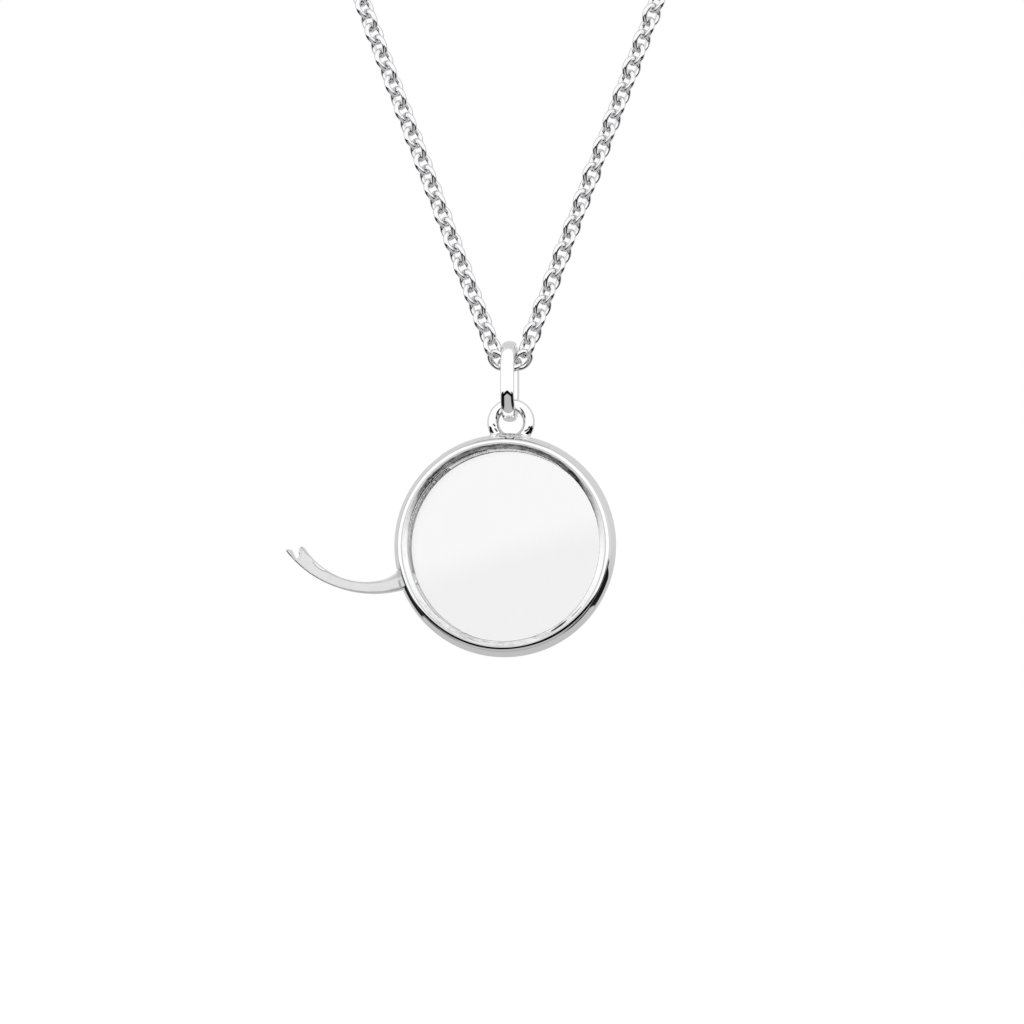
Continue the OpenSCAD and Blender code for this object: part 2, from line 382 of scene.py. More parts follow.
def skin(field, low, high, step, pulls=6):
    """Points and faces of a field's surface, found in a box of small cells and then pulled onto it."""
    least_slope = 1e-6
    low, high = np.array(low, float), np.array(high, float)
    counts = np.ceil((high - low) / step).astype(int) + 1
    axes = [low[i] + step * np.arange(counts[i]) for i in range(3)]
    value = field(np.stack(np.meshgrid(*axes, indexing="ij"), -1))
    inside = value < 0
    cells = tuple(counts - 1)
    total = np.zeros(cells + (3,))
    hits = np.zeros(cells)
    for axis in range(3):
        others = [i for i in range(3) if i != axis]
        for shift in ((0, 0), (0, 1), (1, 0), (1, 1)):
            start = [slice(0, n) for n in cells]
            for other, offset in zip(others, shift):
                start[other] = slice(offset, offset + cells[other])
            end = list(start)
            end[axis] = slice(1, cells[axis] + 1)
            first, second = value[tuple(start)], value[tuple(end)]
            crosses = inside[tuple(start)] != inside[tuple(end)]
            along = np.where(crosses, first / np.where(crosses, first - second, 1), 0)
            total[..., axis] += along * crosses
            for other, offset in zip(others, shift):
                total[..., other] += offset * crosses
            hits += crosses
    found = hits > 0
    numbers = np.full(cells, -1)
    numbers[found] = np.arange(found.sum())
    corner = np.argwhere(found)
    points = low + step * (corner + total[found] / hits[found][:, None])
    for _ in range(pulls):
        slope = gradient(field, points)
        pull = field(points) / np.maximum((slope * slope).sum(-1), least_slope)
        points = points - np.clip(pull, -step, step)[:, None] * slope
    faces = []
    for axis in range(3):
        u, v = [i for i in range(3) if i != axis]
        start = [slice(1, n) for n in cells]
        start[axis] = slice(0, cells[axis])
        end = list(start)
        end[axis] = slice(1, cells[axis] + 1)
        crosses = np.argwhere(inside[tuple(start)] != inside[tuple(end)])
        place = crosses + 1
        place[:, axis] -= 1
        unit_u, unit_v = np.eye(3, dtype=int)[u], np.eye(3, dtype=int)[v]
        corners = [place - unit_u - unit_v, place - unit_v, place, place - unit_u]
        faces.append(np.stack([numbers[tuple(c.T)] for c in corners], -1))
    return points, np.concatenate(faces)


def blend_min(a, b, size):
    """Union of two fields with a fillet."""
    h = np.maximum(size - np.abs(a - b), 0) / size
    return np.minimum(a, b) - h * h * size / 4


def blend_max(a, b, size):
    """Overlap of two fields with rounded edges."""
    return -blend_min(-a, -b, size)


def disc_field(points, middle_point, radius):
    """Flat distance from a disc's rim, under 0 inside the disc."""
    return np.hypot(points[..., 0] - middle_point[0], points[..., 1] - middle_point[1]) - radius


def ring_field(points, middle_point, ring, wire, axis=2):
    """Distance from a ring of round wire about an axis through its middle."""
    offset = points - np.array(middle_point)
    flat = [i for i in range(3) if i != axis]
    reach = np.hypot(offset[..., flat[0]], offset[..., flat[1]]) - ring
    return np.hypot(reach, offset[..., axis]) - wire


def box_field(offset, half, rounding):
    """Distance from a rounded box about the origin."""
    over = np.abs(offset) - (np.array(half) - rounding)
    outside = np.linalg.norm(np.maximum(over, 0), axis=-1)
    return outside + np.minimum(over.max(-1), 0) - rounding


def polygon_field(points, corners):
    """Signed distance from a flat polygon whose corners run counter-clockwise."""
    corners = np.array(corners, float)
    nearest = np.full(points.shape[:-1], np.inf)
    sign = np.ones(points.shape[:-1])
    for i in range(len(corners)):
        a, b = corners[i], corners[i - 1]
        edge = b - a
        offset = points[..., :2] - a
        t = np.clip((offset @ edge) / (edge @ edge), 0, 1)
        gap = offset - t[..., None] * edge
        nearest = np.minimum(nearest, (gap * gap).sum(-1))
        above_a = points[..., 1] >= a[1]
        below_b = points[..., 1] < b[1]
        left = edge[0] * offset[..., 1] > edge[1] * offset[..., 0]
        flips = (above_a & below_b & left) | (~above_a & ~below_b & ~left)
        sign = np.where(flips, -sign, sign)
    return sign * np.sqrt(nearest)


def polar(radius, turn):
    """Flat place at a radius and a turn about the origin."""
    return np.array((radius * math.cos(turn), radius * math.sin(turn)))


# Places of the case and the gate

def case_place(case):
    """Stands the case's flat plane upright under the bail, with local Z towards the front."""
    stand = Matrix.Rotation(case.lean, 4, "Y") @ Matrix.Rotation(math.pi / 2, 4, "X")
    return Matrix.Translation(CASE_MIDDLE) @ stand


def gate_place(case, gate):
    """Turns the gate about its pin from the closed to the open place."""
    pin = Vector((*polar(gate.hinge * MM, gate.hinge_place), 0))
    turn = Matrix.Rotation(GATE_OPEN, 4, "Z")
    return case_place(case) @ Matrix.Translation(pin) @ turn @ Matrix.Translation(-pin)


# Materials

class Nodes:
    """Short calls for building a node tree."""

    def __init__(self, tree):
        self.tree = tree
        tree.nodes.clear()

    def add(self, kind, **values):
        """A node with its settings, and its inputs by name or number."""
        node = self.tree.nodes.new(kind)
        inputs = values.pop("inputs", {})
        for key, value in values.items():
            setattr(node, key, value)
        for key, value in inputs.items():
            self.feed(node.inputs[key], value)
        return node

    def feed(self, socket, value):
        """Links an output to a socket, or sets the socket to a plain value."""
        if isinstance(value, bpy.types.NodeSocket):
            self.tree.links.new(value, socket)
        else:
            socket.default_value = value

    def math(self, operation, *values, clamp=False):
        """Result of a math node."""
        node = self.add("ShaderNodeMath", operation=operation, use_clamp=clamp)
        for socket, value in zip(node.inputs, values):
            self.feed(socket, value)
        return node.outputs[0]

    def fold(self, operation, values):
        """Result of one operation on the first two values, then on that and the third, and so on."""
        result = values[0]
        for value in values[1:]:
            result = self.math(operation, result, value)
        return result

    def total(self, *values):
        """Sum of the values."""
        return self.fold("ADD", values)

    def product(self, *values):
        """Product of the values."""
        return self.fold("MULTIPLY", values)

    def squares(self, first, second):
        """Sum of two values' squares."""
        return self.total(self.product(first, first), self.product(second, second))

    def between(self, value, from_low, from_high, to_low, to_high, smooth_step=False):
        """A value carried from one range to another, in a straight line or a soft step."""
        node = self.add(
            "ShaderNodeMapRange",
            interpolation_type="SMOOTHSTEP" if smooth_step else "LINEAR",
            inputs={0: value, 1: from_low, 2: from_high, 3: to_low, 4: to_high},
        )
        return node.outputs[0]

    def rise(self, value, start, end):
        """Soft step from 0 to 1 between two values."""
        return self.between(value, start, end, 0.0, 1.0, True)

    def fall(self, value, start, end):
        """Soft step from 1 to 0 between two values."""
        return self.between(value, start, end, 1.0, 0.0, True)

    def mix(self, factor, first, second):
        """Mix of two colours, the first at 0 and the second at 1."""
        node = self.add("ShaderNodeMix", data_type="RGBA")
        self.feed(node.inputs[0], factor)
        self.feed(node.inputs[6], first)
        self.feed(node.inputs[7], second)
        return node.outputs[2]

    def noise(self, place, scale, detail=3.0, rough=0.5):
        """Noise with so many waves in each unit of the place."""
        node = self.add(
            "ShaderNodeTexNoise",
            inputs={"Vector": place, "Scale": scale, "Detail": detail, "Roughness": rough},
        )
        return node.outputs["Fac"]


class CasePlace:
    """A shader's own place on the case in millimetres: across, up, height, radius and turn about its axis."""

    def __init__(self, nodes, place, case):
        turns = tuple(case_place(case).to_euler())
        local = nodes.add("ShaderNodeMapping", vector_type="TEXTURE", inputs={
            "Vector": place, "Location": CASE_MIDDLE, "Rotation": turns, "Scale": (MM, MM, MM),
        })
        parts = nodes.add("ShaderNodeSeparateXYZ", inputs={0: local.outputs[0]})
        self.nodes = nodes
        self.x, self.y, z = parts.outputs
        self.height = nodes.math("ABSOLUTE", z)
        self.radius = nodes.math("SQRT", nodes.squares(self.x, self.y))
        self.turn = nodes.math("ARCTAN2", self.y, self.x)
        self.sine = nodes.math("DIVIDE", self.y, self.radius)
        self.cosine = nodes.math("DIVIDE", self.x, self.radius)

    def streaks(self, along, across, detail=3.0):
        """Noise drawn out round the case, by its waves a radian round it and a millimetre outward."""
        nodes = self.nodes
        polar_place = nodes.add("ShaderNodeCombineXYZ", inputs={
            0: nodes.product(self.cosine, along),
            1: nodes.product(self.sine, along),
            2: nodes.product(self.radius, across),
        })
        return nodes.noise(polar_place.outputs[0], 1.0, detail, rough=0.6)

    def spot(self, turn, radius, half_length, half_width):
        """1 inside a small oval mark that lies along the ring, and 0 outside."""
        nodes = self.nodes
        turned = nodes.math("SUBTRACT", self.turn, deg(turn))
        along = nodes.product(turned, radius / half_length)
        across = nodes.math("DIVIDE", nodes.math("SUBTRACT", self.radius, radius), half_width)
        return nodes.fall(nodes.squares(along, across), 0.7, 1.3)

    def line(self, radius, height, wide):
        """1 on a thin line round the case at a radius and a height, and 0 away from it."""
        nodes = self.nodes
        out = nodes.math("SUBTRACT", self.radius, radius)
        up = nodes.math("SUBTRACT", self.height, height)
        return nodes.fall(nodes.math("SQRT", nodes.squares(out, up)), wide / 2, wide)


# Waves a metre in the wear and the grain of the silver, and in the haze of the glass
WEAR_WAVES = 900.0
GRAIN_WAVES = 6000.0
HAZE_WAVES = 300.0


def new_material(name):
    """A material with its nodes, its shader and its object coordinates."""
    material = bpy.data.materials.new(name)
    material.use_nodes = True
    nodes = Nodes(material.node_tree)
    shader = nodes.add("ShaderNodeBsdfPrincipled")
    output = nodes.add("ShaderNodeOutputMaterial")
    nodes.feed(output.inputs["Surface"], shader.outputs[0])
    place = nodes.add("ShaderNodeTexCoord").outputs["Object"]
    return material, nodes, shader, place


def silver(name, finish, marks=None, matt=0.0):
    """Polished silver: mirror gloss broken by faint wear and a fine grain, and darkened by painted shade.

    The painted shade, which stands in for shade and dark reflections, is stored on the points. Where
    marks is given, that function gives the painted shade, the bumps and the matt spots by place.
    """
    found = bpy.data.materials.get(name)
    if found:
        return found
    material, nodes, shader, place = new_material(name)
    clouds = nodes.noise(place, WEAR_WAVES, 4.0)
    fine = nodes.noise(place, GRAIN_WAVES, 5.0, 0.6)
    uneven = nodes.add("ShaderNodeBump", inputs={"Strength": 0.04, "Distance": 2e-6, "Height": fine})
    bump = uneven.outputs[0]
    if marks:
        dark, bump, matt = marks(nodes, place, bump)
    else:
        dark = nodes.add("ShaderNodeAttribute", attribute_name="painted_shade").outputs["Fac"]
    # Painted shade: the silver goes towards the dark colour where the painted shade lies, a little unevenly
    cloudy = nodes.math("MULTIPLY", dark, nodes.between(clouds, 0.3, 0.7, 0.9, 1.1), clamp=True)
    nodes.feed(shader.inputs["Base Color"], nodes.mix(cloudy, (*finish.silver, 1), (*finish.painted_shade, 1)))
    wear_and_shade = nodes.between(clouds, 0.45, 0.75, finish.polish, finish.polish + finish.wear)
    grain = nodes.between(fine, 0.4, 0.8, 0.0, finish.wear / 3)
    nodes.feed(shader.inputs["Roughness"], nodes.total(wear_and_shade, grain, matt))
    nodes.feed(shader.inputs["Normal"], bump)
    shader.inputs["Metallic"].default_value = 1.0
    return material


def glass(name, context):
    """Clear glass with a very faint haze, its colour a little darker towards the lower right as painted
    shade.
    """
    case, finish = settings(context, "locket_case"), settings(context, "locket_finish")
    material, nodes, shader, place = new_material(name)
    haze = nodes.noise(place, HAZE_WAVES, 2.0)
    nodes.feed(shader.inputs["Roughness"], nodes.between(haze, 0.4, 0.8, 0.0, 0.01))
    on_case = CasePlace(nodes, place, case)
    # Painted shade: the glass's colour darkens a little towards the lower right
    slant = nodes.math("SUBTRACT", nodes.product(on_case.x, 0.35), on_case.y)
    low = nodes.rise(slant, -1.5, 3.0)
    nodes.feed(shader.inputs["Base Color"], nodes.mix(low, (*finish.glass, 1), (*finish.glass_low, 1)))
    shader.inputs["Transmission Weight"].default_value = 1.0
    shader.inputs["IOR"].default_value = 1.5
    return material


def plain_silver(context):
    """Silver of the loop, the bail and the pins."""
    return silver("polished_silver", settings(context, "locket_finish"))


def gate_silver(context):
    """Satin silver of the gate."""
    finish = settings(context, "locket_finish")
    return silver("gate_silver", finish, matt=finish.blur)


def case_silver(context):
    """Silver of the case: painted shade in lines and spots in its corners, a painted reflection line on the
    bezel's crest, and a streaky inner flank of the bezel darkened with painted reflections.
    """
    case = settings(context, "locket_case")
    groove = case.bezel_inner + case.bezel_width
    crest = groove - case.crest_offset

    def marks(nodes, place, bump):
        """Painted shade and painted reflections, bumps and matt spots by place on the case."""
        here = CasePlace(nodes, place, case)
        # Painted reflections: the bezel's inner flank, and the walls seen through the glass below it, are
        # darkened in streaks, most at the top and a little at the bottom
        flank = nodes.fall(here.radius, crest - 0.14, crest - 0.04)
        long = here.streaks(along=9.0, across=7.0, detail=4.0)
        hatch = here.streaks(along=26.0, across=2.5, detail=3.0)
        inside = nodes.between(here.height, case.seat_high - 0.04, case.seat_high + 0.02, 1.0, 0.0)
        upper = nodes.between(here.sine, -0.1, 0.95, 0.0, 0.5, True)
        lower = nodes.between(here.sine, -0.95, -0.2, 0.26, 0.0, True)
        tone = nodes.product(
            nodes.total(upper, lower, 0.02),
            nodes.total(1.0, nodes.product(inside, 0.6)),
            nodes.between(long, 0.34, 0.66, 0.4, 1.7),
            nodes.between(hatch, 0.35, 0.65, 0.8, 1.2),
        )
        dark = nodes.product(flank, tone)
        # Thin lines: painted shade in the groove, a painted shadow at the bezel's inner edge by the glass,
        # and a painted reflection on the crest; radius, height and width, and how dark
        lines = [
            ((groove, case.band_width / 2, 0.16), 0.22),
            ((case.bezel_inner, case.seat_high + 0.2, 0.16), 0.14),
            ((crest, case.bezel_top, 0.1), 0.4),
        ]
        # Small oval spots of painted shade in the groove and inside the bezel: turn in degrees, radius, half
        # length and half width, and how dark
        spots = [
            ((-146.0, groove, 4.0, 0.1), 0.6),
            ((-22.0, groove, 2.2, 0.1), 0.3),
            ((92.0, groove - 0.03, 4.5, 0.12), 0.35),
            ((-52.8, 9.85, 0.95, 0.09), 0.75),
            ((-41.0, 9.9, 0.5, 0.05), 0.5),
            ((-37.0, 9.92, 0.25, 0.04), 0.5),
            ((112.0, 9.6, 1.5, 0.08), 0.6),
            ((52.0, 9.9, 1.8, 0.06), 0.45),
            ((141.0, 9.74, 0.32, 0.17), 0.6),
        ]
        masks = [(here.line(*line), amount) for line, amount in lines]
        masks += [(here.spot(*spot), amount) for spot, amount in spots]
        for mask, amount in masks:
            dark = nodes.total(dark, nodes.product(mask, amount))
        # The last spot has a bright middle
        clean = nodes.math("SUBTRACT", 1.0, here.spot(141.0, 9.76, 0.2, 0.09))
        dark = nodes.math("MULTIPLY", dark, clean, clamp=True)
        ripples = nodes.add("ShaderNodeBump", inputs={
            "Strength": nodes.product(flank, 0.8),
            "Distance": 6e-6,
            "Height": nodes.total(long, nodes.product(hatch, 0.5)),
            "Normal": bump,
        })
        matt = nodes.product(
            flank,
            nodes.between(long, 0.35, 0.65, 0.3, 0.12),
            nodes.between(here.sine, -0.9, 0.2, 0.4, 1.0),
        )
        return dark, ripples.outputs[0], matt

    return silver("case_silver", settings(context, "locket_finish"), marks)


def chain_silver(context):
    """Silver of the chain, the clasp and the end ring."""
    return silver("chain_silver", settings(context, "locket_finish"))


# The case

def case_section(case):
    """Section of the case above its middle plane, as runs of (radius, height) points.

    The inner run goes from the seat over the bezel into the groove and to the gap's radius, the
    outer run on to the slot's height, and the side run down to the middle plane.
    """
    lip, corner = 0.15, 0.12
    radius = case.diameter / 2
    groove = case.bezel_inner + case.bezel_width
    crest = (groove - case.crest_offset, case.bezel_top - case.bezel_dome)
    in_x = case.bezel_inner + lip
    in_z = crest[1] + math.sqrt((case.bezel_dome - lip) ** 2 - (crest[0] - in_x) ** 2)
    out_x = groove - corner
    out_z = crest[1] + math.sqrt((case.bezel_dome - corner) ** 2 - (out_x - crest[0]) ** 2)
    in_turn = math.atan2(in_z - crest[1], in_x - crest[0])
    out_turn = math.atan2(out_z - crest[1], out_x - crest[0])
    off = case.shoulder - radius + groove
    rise = math.sqrt(case.shoulder ** 2 - off ** 2)
    hub = (radius - case.shoulder, case.band_width / 2 - rise)
    start = math.asin(rise / case.shoulder)
    gap_turn = math.acos((case.gap_radius - hub[0]) / case.shoulder)
    slot_turn = math.asin((case.slot_half - hub[1]) / case.shoulder)
    inner = [
        (case.seat, case.seat_low),
        (case.seat, case.seat_high),
        (case.bezel_inner, case.seat_high),
        *arc((in_x, in_z), lip, math.pi, in_turn, steps=10),
        *arc(crest, case.bezel_dome, in_turn, out_turn, steps=26)[1:],
        *arc((out_x, out_z), corner, out_turn, 0, steps=9)[1:],
        *arc(hub, case.shoulder, start, gap_turn, steps=4),
    ]
    outer = arc(hub, case.shoulder, gap_turn, slot_turn, steps=16)
    side = arc(hub, case.shoulder, slot_turn, 0, steps=10) + [(radius, 0)]
    return inner, outer, side


def flipped(run):
    """The same run below the middle plane."""
    return [(r, -z) for r, z in run]


def case_shell(case):
    """Points and faces of the case.

    Runs of its section are swept round it, and walls close the ends of the slot and the gap.
    """
    degrees_a_step, cavity_rows = 1.2, 5
    inner, outer, side = case_section(case)
    gap_foot = (case.gap_radius, case.slot_half)
    cavity = [(case.cavity, z) for z in np.linspace(-case.seat_low, case.seat_low, cavity_rows)]
    points, faces = [], []

    def sweep(run, start, end):
        """Adds the surface that a run makes between two angles."""
        steps = max(1, round(math.degrees(end - start) / degrees_a_step))
        base = len(points)
        for a in np.linspace(start, end, steps + 1):
            points.extend((r * math.cos(a), r * math.sin(a), z) for r, z in run)
        for face in grid_faces(steps + 1, len(run), False, False):
            faces.append(tuple(base + i for i in face))

    def cap(outline, a):
        """Adds a flat wall at an angle."""
        base = len(points)
        points.extend((r * math.cos(a), r * math.sin(a), z) for r, z in outline)
        faces.append(tuple(range(base, base + len(outline))))

    stretches = [
        ("solid", case.slot_low, case.slot_top + TURN),
        ("slot", case.slot_top, case.gap_top),
        ("gap", case.gap_top, case.gap_low),
        ("slot", case.gap_low, case.slot_low),
    ]
    for kind, start, end in stretches:
        for turned in (list, flipped):
            sweep(turned(inner), start, end)
            if kind != "gap":
                sweep(turned(outer), start, end)
            if kind == "solid":
                sweep(turned(side), start, end)
                sweep(turned([inner[0], cavity[-1]]), start, end)
            if kind == "slot":
                sweep(turned([outer[-1], gap_foot]), start, end)
            if kind != "solid":
                sweep(turned([gap_foot, inner[0]]), start, end)
            if kind == "gap":
                sweep(turned([inner[-1], gap_foot]), start, end)
        if kind == "solid":
            sweep(cavity, start, end)
    slot_wall = (
        [inner[0], gap_foot] + side + flipped(side)[-2::-1] + flipped([gap_foot, inner[0]]) + cavity
    )
    for a in (case.slot_top, case.slot_low):
        cap(slot_wall, a)
    for a in (case.gap_top, case.gap_low):
        for turned in (list, flipped):
            cap(turned(outer + [gap_foot]), a)
    return points, faces


def paint_shade(piece, place, depth):
    """Stores on each point how much painted shade it gets, by the point's own place in millimetres."""
    back = np.array((place @ Matrix.Scale(MM, 4)).inverted())
    places = np.empty(len(piece.data.vertices) * 3)
    piece.data.vertices.foreach_get("co", places)
    places = places.reshape(-1, 3) @ back[:3, :3].T + back[:3, 3]
    layer = piece.data.attributes.new("painted_shade", "FLOAT", "POINT")
    layer.data.foreach_set("value", np.clip(depth(places), 0, 1))


def ramp(values, start, end):
    """Soft step from 0 to 1 between two values."""
    t = np.clip((values - start) / (end - start), 0, 1)
    return t * t * (3 - 2 * t)


def near(distance, full, none):
    """1 up to one distance and 0 past another, with a soft step between."""
    return ramp(-distance, -none, -full)


def stroke(points, a, b):
    """Flat distance from a short stroke between two places."""
    a, b = np.array(a, float), np.array(b, float)
    edge = b - a
    offset = points[..., :2] - a
    t = np.clip((offset @ edge) / (edge @ edge), 0, 1)
    return np.linalg.norm(offset - t[..., None] * edge, axis=-1)


def band_field(case, points):
    """Distance from the band's outer surface."""
    radius = case.diameter / 2
    off = case.shoulder - radius + case.bezel_inner + case.bezel_width
    hub_z = case.band_width / 2 - math.sqrt(case.shoulder ** 2 - off ** 2)
    reach = np.hypot(points[..., 0], points[..., 1]) - (radius - case.shoulder)
    height = np.maximum(np.abs(points[..., 2]) - hub_z, 0)
    return np.hypot(reach, height) - case.shoulder


class LOCKET_OT_case(bpy.types.Operator):
    """Build the case ring with its bezels, band and slot"""

    bl_idname = "locket.case"
    bl_label = "Case"

    def execute(self, context):
        case = settings(context, "locket_case")
        edge_width = 0.035
        piece = new_piece("case_ring", *case_shell(case), case_place(case))
        close_up(piece)
        bevel = piece.modifiers.new("edges", "BEVEL")
        bevel.width = edge_width * MM
        bevel.segments = 2
        bevel.limit_method = "ANGLE"
        bevel.angle_limit = deg(40)
        bevel.harden_normals = True
        smooth(piece)
        baked(piece)
        hand_over(piece, case_silver(context), "case", "locket")
        return {"FINISHED"}


# The ends of each short dark stroke, a painted reflection, at the front of the loop's two roots
DARK_REFLECTION_STROKES = [
    ((-1.7, 12.1), (-1.55, 11.95)),
    ((-1.5, 11.65), (-1.32, 11.42)),
    ((-2.06, 11.82), (-1.92, 11.72)),
    ((1.92, 11.98), (1.84, 11.86)),
    ((1.78, 11.7), (1.5, 11.54)),
    ((2.2, 11.86), (1.98, 11.74)),
]


class LOCKET_OT_loop(bpy.types.Operator):
    """Build the loop on its saddle, soldered to the top of the band"""

    bl_idname = "locket.loop"
    bl_label = "Loop"

    def execute(self, context):
        case = settings(context, "locket_case")
        loop = settings(context, "locket_loop")
        radius = case.diameter / 2
        saddle_edge, wire_fillet = 0.16, 0.08
        band_sink, solder_margin, root_depth = 0.012, 0.02, 0.5

        def field(points):
            """Distance from the loop and its saddle, with the solder drawn out onto the band."""
            wire = ring_field(points, (0, loop.middle, 0), loop.ring, loop.wire)
            reach = np.hypot(points[..., 0], points[..., 1])
            along = np.arctan2(points[..., 0], points[..., 1]) * radius
            offset = np.stack([along, reach - radius, points[..., 2]], -1)
            half = (loop.saddle_half, loop.saddle_rise, loop.saddle_depth)
            joined = blend_min(wire, box_field(offset, half, saddle_edge), wire_fillet)
            band = band_field(case, points) + band_sink
            soldered = blend_min(joined, band, loop.fillet)
            soldered = np.maximum(soldered, joined - loop.fillet - solder_margin)
            return np.maximum(soldered, radius - root_depth - reach)

        side = loop.ring + loop.wire
        top = loop.middle + side
        margin, depth_margin, below = 0.2, 0.5, 1.2
        points, faces = skin(
            field,
            (-side - margin, radius - below, -loop.saddle_depth - depth_margin),
            (side + margin, top + margin, loop.saddle_depth + depth_margin),
            step=0.05,
        )

        def depth(points):
            """Painted dark reflections in short strokes at the loop's roots, and painted shade on the upper
            inside of its wire and in the crease where it meets the band.
            """
            x, y, z = (points[..., i] for i in range(3))
            stroke_reach = np.min([stroke(points, *ends) for ends in DARK_REFLECTION_STROKES], axis=0)
            painted_reflections = ramp(z, 0.1, 0.3) * near(stroke_reach, 0.05, 0.11)
            reach = disc_field(points, (0, loop.middle), loop.ring)
            # Painted shade: the upper inside of the wire and the crease where the saddle meets the band are
            # darkened, unevenly
            inside = ramp(-reach, 0.15, 0.4) * ramp(y, loop.middle - 1.4, loop.middle + 0.6)
            foot = near(np.abs(np.hypot(x, y) - radius), 0.04, 0.14) * near(np.abs(x), 1.0, 1.5)
            rough = 0.5 + 0.5 * np.sin(x * 9 + 2 * np.sin(y * 7 + z * 5))
            return painted_reflections * 0.95 + (inside * 0.45 + foot * 0.5) * rough

        place = case_place(case)
        piece = new_piece("case_loop", points, faces, place)
        close_up(piece)
        smooth(piece)
        # Paints shade and dark reflections into the loop's colour
        paint_shade(piece, place, depth)
        hand_over(piece, plain_silver(context), "case", "locket")
        return {"FINISHED"}


class LOCKET_OT_glass(bpy.types.Operator):
    """Build the front and back glass discs"""

    bl_idname = "locket.glass"
    bl_label = "Glass"

    def execute(self, context):
        case = settings(context, "locket_case")
        material = glass("clear_glass", context)
        edge, radius = 0.05, case.glass / 2
        low, high = case.glass_low, case.glass_low + case.glass_depth
        run = [
            *arc((radius - edge, high - edge), edge, math.pi / 2, 0, steps=3),
            *arc((radius - edge, low + edge), edge, 0, -math.pi / 2, steps=3),
        ]
        around = 160
        for node, side in (("front_glass", 1), ("back_glass", -1)):
            points = lathe([(r, side * z) for r, z in run], around)
            faces = grid_faces(around, len(run), True, False)
            for end in (0, len(run) - 1):
                faces.append(tuple(i * len(run) + end for i in range(around)))
            piece = new_piece(node + "_disc", points, faces, case_place(case))
            close_up(piece)
            rim = [len(face.vertices) == 4 for face in piece.data.polygons]
            piece.data.polygons.foreach_set("use_smooth", rim)
            hand_over(piece, material, node, "locket")
        return {"FINISHED"}


class LOCKET_OT_pins(bpy.types.Operator):
    """Build the hinge pin and the catch pin"""

    bl_idname = "locket.pins"
    bl_label = "Pins"

    def execute(self, context):
        case = settings(context, "locket_case")
        gate = settings(context, "locket_gate")
        places = {
            "hinge_pin": polar(gate.hinge, gate.hinge_place),
            "catch_pin": polar(gate.catch, gate.catch_place),
        }
        edge, radius = 0.05, gate.pin / 2
        rounding = arc((radius - edge, gate.pin_half - edge), edge, math.pi / 2, 0, steps=4)
        half = [(0.0, gate.pin_half), *rounding]
        run = half + flipped(half)[::-1]
        around = 32
        for node, place in places.items():
            points = lathe(run, around, place)
            faces = grid_faces(around, len(run), True, False)
            piece = new_piece(node + "_wire", points, faces, case_place(case))
            close_up(piece)
            smooth(piece)
            hand_over(piece, plain_silver(context), node, "locket")
        return {"FINISHED"}


# The gate

def gate_root(gate, points):
    """Flat distances of the closed gate's root: its hollowed flare, its knuckle and the knuckle's heel."""
    knuckle_r, heel_r, heel_offset = 0.82, 0.42, (0.62, 0.68)
    hinge = polar(gate.hinge, gate.hinge_place)
    corners = [(10.3, 200.8), (9.26, 198.3), (9, 181), (10.3, 181)]
    flare = polygon_field(points, [polar(radius, deg(turn)) for radius, turn in corners])
    hollow = disc_field(points, polar(5.4, deg(177.9)), 4.6)
    knuckle = disc_field(points, hinge, knuckle_r)
    heel = disc_field(points, hinge + heel_offset, heel_r)
    return np.maximum(flare, -hollow), knuckle, heel


def gate_mouth(gate, points):
    """Flat distance of the fork's mouth: a round notch with its way out, and a way past the catch pin."""
    pin_gap = 0.05
    notch, notch_r, notch_way = polar(10.62, deg(134.9)), 0.33, deg(26.1)
    catch, catch_half, catch_way = polar(gate.catch, gate.catch_place), gate.pin / 2 + pin_gap, deg(-11.5)
    mouth = disc_field(points, notch, notch_r)
    for start, turn, half in ((notch, notch_way, notch_r), (catch, catch_way, catch_half)):
        offset = points[..., :2] - start
        along = offset @ np.array((math.cos(turn), math.sin(turn)))
        aside = offset @ np.array((-math.sin(turn), math.cos(turn)))
        mouth = np.minimum(mouth, np.maximum(np.abs(aside) - half, -along))
    return mouth


def gate_arm(gate, case_radius, points):
    """Flat distances of the closed gate: its arm's inner edge, its mouth and its whole outline.

    The inner edge is part of a smaller circle, whose middle lies off the case's middle.
    """
    clearance, pin_gap = 0.05, 0.04
    edge, mouth_edge = 0.1, 0.12
    outer_r, tip_in_r = case_radius - clearance, 9.5
    foot, tip_out, tip_in = deg(201), deg(126.8), deg(133.8)
    inner_off, inner_turn = 2.07, deg(168.5)
    mid = (tip_out + foot) / 2
    outer = disc_field(points, (0, 0), outer_r)
    inner = -disc_field(points, polar(inner_off, inner_turn), outer_r - gate.thickness - inner_off)
    sector = polygon_field(points, [
        polar(outer_r + 1, tip_out), polar(outer_r + 4, mid), polar(outer_r + 1, foot),
        polar(tip_in_r, foot), polar(tip_in_r - 2, mid), polar(tip_in_r, tip_in),
    ])
    body = blend_max(blend_max(outer, sector, edge), inner, edge)
    for part in gate_root(gate, points):
        body = blend_min(body, part, edge)
    mouth = gate_mouth(gate, points)
    body = blend_max(body, -mouth, mouth_edge)
    hole = disc_field(points, polar(gate.hinge, gate.hinge_place), gate.pin / 2 + pin_gap)
    return SimpleNamespace(inner=-inner, mouth=mouth, body=np.maximum(body, -hole))


def gate_field(gate, case_radius, points):
    """Distance from the gate in its closed place, with rounded edges."""
    body = gate_arm(gate, case_radius, points).body
    over = np.stack([body + gate.edge, np.abs(points[..., 2]) - gate.width / 2 + gate.edge], -1)
    outside = np.linalg.norm(np.maximum(over, 0), axis=-1)
    return outside + np.minimum(over.max(-1), 0) - gate.edge


